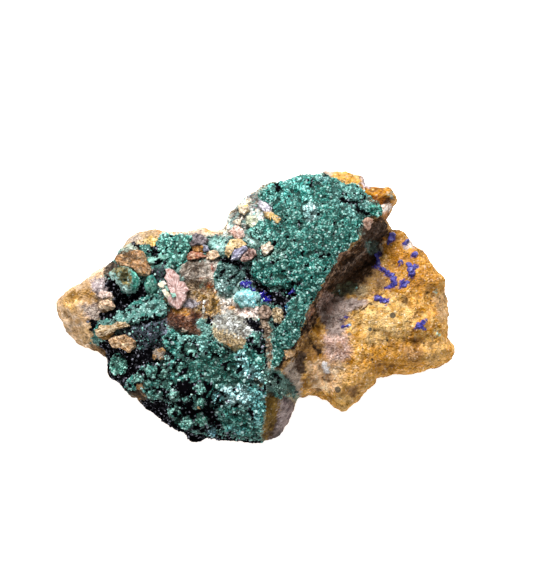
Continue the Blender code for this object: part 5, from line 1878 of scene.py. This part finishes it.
# The stones that the limonite has cemented in.
FRAGMENTS: tuple[Fragment, ...] = (
    # Left of the plate.
    Fragment("#b49082 #dcc4b8 #9c786c #ecdcd0", "229,232 232,227 237,226 243,229 244,236 240,240 234,238",
             1.3),
    Fragment("#c2a06c #e2c89c #d4b888 #a88c64", "225.5,250 228,244 231,240 237,239 243,241.5 247,245 "
             "242,248 235,249 232,254 229,258 226,255", 1.3),
    Fragment("#7c7a92 #a8a6bc #8f8da6 #d4d2e0", "232,254 235,249 240,247 246,246 247,250 243,255 239,259.5 "
             "232,260", 1.2),
    Fragment("#5c4038 #a4867e #6c4c44 #bc9c92", "240,260 245,252 250,248 256,250 257,255 252,260 245,262",
             1.3),
    Fragment("#c6b096 #e6d8c4 #a4907a #d4c0aa", "261,246 266,243 274,244 276,248 270,253 264,257 262,252",
             1.3),
    Fragment("#c9a878 #dcb36c #a39a98", "264,211 270,211 276,215 282,220 279,224 270,222 265,217", 1.4),
    Fragment("#e0b86c #d9c8a8 #cdbba4", "238.5,206 242,204 248,204.5 250,211 244,215 239,212.5", 1.1),
    Fragment("#c99a82 #d9b4a0", "251,193 259,192 261,199 256,204 251,200", 1.1),
    Fragment("#a09aa8 #c4c0c8 #8c8692 #d8d4d8", "259,200 266,201 272,209 270,214 264,213 259,207", 1.3),
    Fragment("#c8caae #b4ba9e #dedcc8", "247,217 256,216 259,224 252,229 246,225", 1.0),
    Fragment("#dcd0bc #c9b9a0 #efe6d4", "231,211 238,208 244,216 240,225 232,223", 0.9),
    # Above the middle.
    Fragment("#a8745e #905a44 #c49a7e", "181,256 190,251 205,253 208,257 196,259 184,261", 0.8),
    Fragment("#b9813f #d09a58 #8a5a2a", "190,245 196,243 204,247 203,252 194,252", 0.7),
    Fragment("#544b4e #8a8082 #6a6064 #3a3436", "187,241 190,236 196,233 203,236 210,240 206,244 196,246 "
             "190,246", 1.2),
    Fragment("#75778a #9c9eac", "203,245 209,246 210,252 204,252", 0.6),
    Fragment("#c9a585 #dcc0a2 #b48e6a", "206,252 217,250 222,256 214,260 207,259", 0.8),
    # The middle.
    Fragment("#6c584c #9a8272 #54443a", "259,308 264,305 270,307 272,313 268,319 262,318 258,313", 0.9),
    Fragment("#7c6642 #ccb898 #5c482c #a88e68", "272,309 277,307 282,310 284,317 281,324 275,322 272,316",
             1.1, cell=0.8),
    Fragment("#f1ede6 #dcd6cc", "203.5,300 205.5,300.5 205.5,304 203.5,304", 0.5),
    Fragment("#f1ede6 #dcd6cc", "202.8,305 204.6,305 204.8,308.6 203,309", 0.5),
    Fragment("#f1ede6 #dcd6cc", "203,310 205,310 204.8,313 203,313", 0.5),
    Fragment("#b09a88 #c9b8a6", "183,328 188,330 186,333 181,332", 0.6),
    # The left.
    # A dark block under the long stone: painted shade on its underside.
    Fragment("#4a3418 #6a4c22 #7a5a2c", "98,333 106,332 113,330 115,333 110,338 103,340 98,338", 1.4, 0.9),
    Fragment("#96744a #ccb48e #765a3a #dcc8a8 #ac9068", "95,330 101,326 109,325 115,323 121,320.5 127,322 "
             "131,326 126,328 118,329 113,332 106,336 98,336", 1.8, 0.88, 0.8),
    Fragment("#946e46 #c8a680 #66492a #bc9066 #dcc09a", "109,340 115,336 124,335 131,337 136,341 136,347 "
             "130,352 121,349 113,347", 1.6, 0.86, 0.8),
    Fragment("#544a42 #8f8072 #6e6258 #a87c44 #463c34", "153.5,351 156,347 160,347.5 164,346.5 166,351 "
             "164.5,354 165,358 161,360 158,358.5 155,360 153,356", 1.3, cell=1.8),
    Fragment("#c8a184 #e0c4a4 #b08664", "99,302 106,299 113,301 115,307 109,311 101,309", 1.2),
    Fragment("#c8aca0 #dac6ba #b09488", "97,296 103,290 112,293 112,297 102,299", 0.6),
    Fragment("#7a5a3c #b0845a #946a42 #64503e #8c785c #c49a70", "117,256 124,252 136,250 144,252 148,262 "
             "152,270 150,276 140,275 130,268 120,266 116,261", 1.3, 0.84),
    Fragment("#3a3028 #5a4c40 #2a241e", "105,268 112,262 118,264 117,272 110,277 105,274", 1.0),
    # The lower left and the foot.
    Fragment("#7a5c3c #8f6e4a", "137,383 142,382 146,386 143,390 138,388", 0.8),
    Fragment("#5d4d3c #6f5e4c", "128,390 134,388 140,392 138,398 131,397", 0.8),
    Fragment("#a88a5c #c0a070", "199,405 206,409 205,411 198,407", 0.4),
    Fragment("#b08a5e #c4a078", "284,350 290,348 296,349 292,356 286,358", 0.8),
    # By the tip and on the ledge.
    Fragment("#b8917c #cbaa96 #9c7460", "362,222 367,218 373,219 371,226 367,230 363,228", 1.0),
)

CEMENTED = Stones(
    "cemented_fragments", "limonite_rock", FRAGMENTS, cuts=(2, 1),
    relief=((1.9, 0.3, CELLS), (0.9, 0.2, CELLS), (0.5, 0.08, PERLIN)), relief_shift=5.0, tone_shift=7.0,
    hollow_rounds=0, seed=50, coat=(0.0, 0.0, 0.6, 1.0))


# Studio


@dataclass
class Studio:
    """White board, soft key light from the upper left, and the camera at the photograph's angle."""

    lens: float = 300.0
    sensor: float = 36.0
    board: float = 3.0
    key_place: tuple[float, float, float] = (-0.1, 0.42, 0.66)
    key_size: float = 0.3
    key_watts: float = 11.0
    sky: float = 0.4
    aim_height: float = 12.0

    def light(self) -> None:
        """The key light and the even light of the room."""
        lamp = bpy.data.lights.new("key", "AREA")
        lamp.size = self.key_size
        lamp.energy = self.key_watts
        key = new_object("key", lamp)
        key.location = self.key_place
        key.rotation_euler = (-Vector(self.key_place)).to_track_quat("-Z", "Y").to_euler()
        world = bpy.data.worlds.new("room")
        world.use_nodes = True
        background = world.node_tree.nodes["Background"]
        background.inputs["Color"].default_value = rgba("#ffffff")
        background.inputs["Strength"].default_value = self.sky
        bpy.context.scene.world = world
        bpy.context.scene.view_settings.view_transform = "Standard"

    def floor(self, finish: Material) -> None:
        """Lays the board that the specimen lies on.

        Args:
            finish: its material.
        """
        half = self.board / 2
        form = bmesh.new()
        corners = [form.verts.new((x * half, y * half, 0.0)) for x, y in ((-1, -1), (1, -1), (1, 1), (-1, 1))]
        form.faces.new(corners)
        mesh = mesh_from(form, "board")
        mesh.materials.append(finish)
        new_object("board", mesh)

    def camera(self) -> None:
        """The camera, so far away that its scale is the plan's own."""
        lens = bpy.data.cameras.new("camera")
        lens.lens = self.lens
        lens.sensor_width = self.sensor
        lens.clip_end = 20.0
        made = new_object("camera", lens)
        long_side = max(PLAN.size_px) * PLAN.mm_per_pixel
        away = self.lens / self.sensor * long_side
        aim = PLAN.on_plane(PLAN.size_px[0] / 2, PLAN.size_px[1] / 2)
        lift = (self.aim_height - aim.z) / PLAN.towards_viewer().z
        made.location = (aim + (away + lift) * PLAN.towards_viewer()) * MM
        made.rotation_euler = (-PLAN.towards_viewer()).to_track_quat("-Z", "Y").to_euler()
        bpy.context.scene.camera = made


# The specimen

BAND_TONES = "#84b8b0 #b2d8d2 #6ca298"
DARK_TONES = "#485e5c #748e8c #343e3e"
PALE_TONES = "#b4dcd8 #e2f6f4 #90c2bc"

SOFT_RELIEF = ((1.6, 0.24), (0.8, 0.22), (0.45, 0.1))

CRUSTS: tuple[MalachiteCrust, ...] = (
    MalachiteCrust("malachite_plate", spacing=0.27, sizes=(0.29, 0.7), bareness=0.05,
                   knobs=(Knob(375.5, 211, 1.5, 1.3, "#64a698 #84c0b4 #9cd2c8", 0.2),)),
    MalachiteCrust("malachite_apron", spacing=0.36, sizes=(0.34, 0.92), lean=1.3, voxel=0.36,
                   black_share=0.26, black_size=1.9, knobs=tuple(Knob(*row) for row in (
        (153, 395, 1.4, 1.9), (160.6, 396, 0.9, 1.4), (175, 395, 1.4, 2.0), (175, 411, 1.5, 2.1),
        (187.5, 422, 1.6, 2.0), (202.5, 419, 1.5, 2.1, "#4f8a78 #74a896 #5f9080"), (201, 387, 1.4, 1.6),
        (201, 401, 1.2, 1.6, "#3f6a60 #6a9a8c #4f8074"), (256, 338, 1.6, 1.4), (178, 421, 0.8, 1.1),
        (181, 366, 1.2, 1.2), (152, 371, 1.5, 1.4), (139, 377, 1.2, 1.2), (131.5, 385, 1.2, 1.3),
        (212, 431, 1.2, 1.4, "#8fb5c4 #a8c8d4"), (186, 398, 0.8, 1.2), (168, 384, 1.1, 1.2),
        (218, 396, 1.3, 1.2, "#93c2c8 #aadde0"), (164, 372, 1.3, 1.2), (191, 349, 1.5, 1.2),
    ))),
    MalachiteCrust("malachite_band", spacing=0.38, sizes=(0.3, 0.7), skin=0.35, knobs=tuple(
        Knob(px, py, size, size, BAND_TONES, 0.75) for px, py, size in (
            (104, 327, 0.9), (113, 325, 1.0), (121, 319, 1.1), (130, 315, 1.0), (139, 312, 1.2),
            (147, 307, 1.1), (155, 303, 1.2), (163, 304, 1.0), (151, 314, 1.0), (160, 311, 1.1),
            (137, 320, 0.8), (126, 322, 0.8),
        ))),
    MalachiteCrust("malachite_back_crust", spacing=0.42, sizes=(0.4, 0.85)),
    MalachiteCrust("malachite_middle_crust", spacing=0.38, sizes=(0.3, 0.7), skin=0.25, knobs=tuple(
        Knob(px, py, size, size, tones, 0.3 if tones == PALE_TONES else 0.75) for px, py, size, tones in (
            (222, 267, 1.2, DARK_TONES), (231, 270, 1.2, DARK_TONES), (241, 275, 1.1, DARK_TONES),
            (226, 278, 1.0, DARK_TONES), (236, 281, 1.1, DARK_TONES), (219, 284, 1.1, PALE_TONES),
            (228, 289, 1.2, PALE_TONES), (236, 290, 1.0, PALE_TONES), (245, 268, 0.8, DARK_TONES),
        ))),
    MalachiteCrust("malachite_foot", spacing=0.4, sizes=(0.25, 0.5)),
    MalachiteCrust("malachite_knob", Habit.BUD, spacing=0.4, sizes=(0.35, 0.75)),
    MalachiteCrust("malachite_rim_bead", spacing=0.32, sizes=(0.3, 0.6), voxel=0.25, skin=0.3),
    *(MalachiteCrust(node, spacing=0.4, sizes=(smallest, 0.42), voxel=0.22, skin=skin, relief=SOFT_RELIEF)
      for node, smallest, skin in (
          ("malachite_curl", 0.16, 0.7), ("malachite_bead", 0.2, 0.5), ("malachite_hook", 0.16, 0.7))),
    MalachiteCrust("malachite_back_chip", spacing=0.35, sizes=(0.25, 0.5), voxel=0.25),
    MalachiteCrust("pale_malachite_patch", spacing=0.36, sizes=(0.3, 0.6), voxel=0.25, slot="pale_malachite",
                   skin=0.6, black_share=0.0, knobs=tuple(
        Knob(px, py, size, size, "#c6fafe #dcfdff #a0e0ea", 0.3) for px, py, size in (
            (242, 296, 0.9), (249, 294, 1.0), (256, 298, 1.0), (246, 302, 1.0), (253, 304, 0.9),
        ))),
)

# The azurite's outlines, one row for each group. A bar parts two outlines of one group.
LEDGE_AZURITE = (
    "387,241 390,236 394,235 395,239 391,243 387,244",
    "402,244 405,241 408,242 405,245.5",
    "411,256 414,253 417.5,255 415,258.5",
    "399,262 401,260 403,262 402,265 399,265",
    "406,267 409,264.5 411,269 413,272 413,278 410,277 408,272 | 412,271 413.5,265 417,263 417,267 414,272",
    "377.5,252 379.5,252 379.5,268 376,269 375,265 378,262",
    "379,264 382,266 389,273 387,275 380,269",
    "388,274 392,274 395.5,282 395,287 390,289 384.5,289 385,286 390,285 390,280",
    "398,288 399,282 402,279 404.5,281 404,286 400,290",
    "373,295 378,296 383,300 389,298 389,300.5 384,303.5 379,302 374,298",
    "339,320 345,316.5 350,316.5 344,320",
    "413,330 415,325 419,325 422,319 426,320 422,325 424,329 420,330 416,328",
)

VUG_AZURITE = (
    "242,286 245,281 249,280 251,286 255,291 251,292 247,288 243,289",
    "260,296 265,294.5 270,295 272,299 268,301 262,302",
    "292,288 295,287 297,292 294,292",
)

AZURITE: tuple[AzuriteGroup, ...] = tuple(
    AzuriteGroup(f"azurite_{site}_{number}", tuple(row.split("|")), bright=site == "vug",
                 sizes=(0.3, 0.5) if (site, number) == ("ledge", 11) else (0.5, 0.95))
    for site, rows in (("ledge", LEDGE_AZURITE), ("vug", VUG_AZURITE)) for number, row in enumerate(rows, 1)
)


@dataclass
class Specimen:
    """The whole hand specimen, built from the rock up."""

    nodes: dict[str, Object]
    tree: DruseTree = field(default_factory=DruseTree)
    crystals: dict[Habit, Collection] = field(default_factory=dict)

    def growth(self, habit: Habit, finish: Material, seed: int) -> Growth:
        """What a druse of this habit grows from."""
        return Growth(self.tree, self.crystals[habit], finish, seed)

    def build(self) -> None:
        """Builds every piece in order, then removes the crystals that the druses repeat."""
        malachite = MalachiteFinish("malachite").material()
        pale = MalachiteFinish("pale_malachite", gap_shade_tone="#74a8a8", roughness=0.6).material()
        self.crystals = {habit: CrystalSet(habit).build() for habit in Habit}
        stains = tuple(stain for group in AZURITE for stain in group.stains())
        contact_shades = tuple(fragment.painted_contact_shade() for fragment in (*FRAGMENTS, SLAB))
        rock = HostRock(patches=ROCK_PATCHES + stains + contact_shades)
        rock.build(self.nodes, LimoniteFinish())
        ground = rock.ground
        for seed, crust in enumerate(CRUSTS, 1):
            finish = pale if crust.slot == "pale_malachite" else malachite
            crust.build(self.nodes[crust.node], ground, self.growth(crust.habit, finish, seed))
        film = Dusting("malachite_film", 1, 0.42, (0.28, 0.75), "malachite", FILM_TONES)
        film.build(rock.mesh, self.growth(Habit.SUGAR, malachite, 40))
        grains = Dusting("goethite_grains", 0, 0.5, (0.28, 0.7), "limonite_rock", "#0d0c0e", True)
        grains.build(rock.mesh, self.growth(Habit.BUD, malachite, 41))
        dusty = AzuriteFinish("azurite").material()
        glossy = AzuriteFinish("azurite_in_the_cleft", "#0c0766", "#2620a0", "#8f8cd8", 0.1, 0.2).material()
        for seed, group in enumerate(AZURITE, 60):
            finish = glossy if group.bright else dusty
            group.build(self.nodes[group.node], rock.mesh, self.growth(Habit.BLADE, finish, seed))
        FLAKE.build(ground, FeldsparFinish().material())
        CEMENTED.build(ground, LimoniteFinish("cemented_rock", grain=0.26, speck=0.12, grit=0.12).material())
        for home in self.crystals.values():
            for crystal in list(home.objects):
                bpy.data.objects.remove(crystal)
            bpy.data.collections.remove(home)


def main() -> None:
    """Builds the studio and the specimen."""
    logging.basicConfig(level=logging.INFO, format="%(message)s")
    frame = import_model()
    studio = Studio()
    studio.camera()
    studio.light()
    studio.floor(BoardFinish().material())
    Specimen(frame["nodes"]).build()


if __name__ == "__main__":
    main()
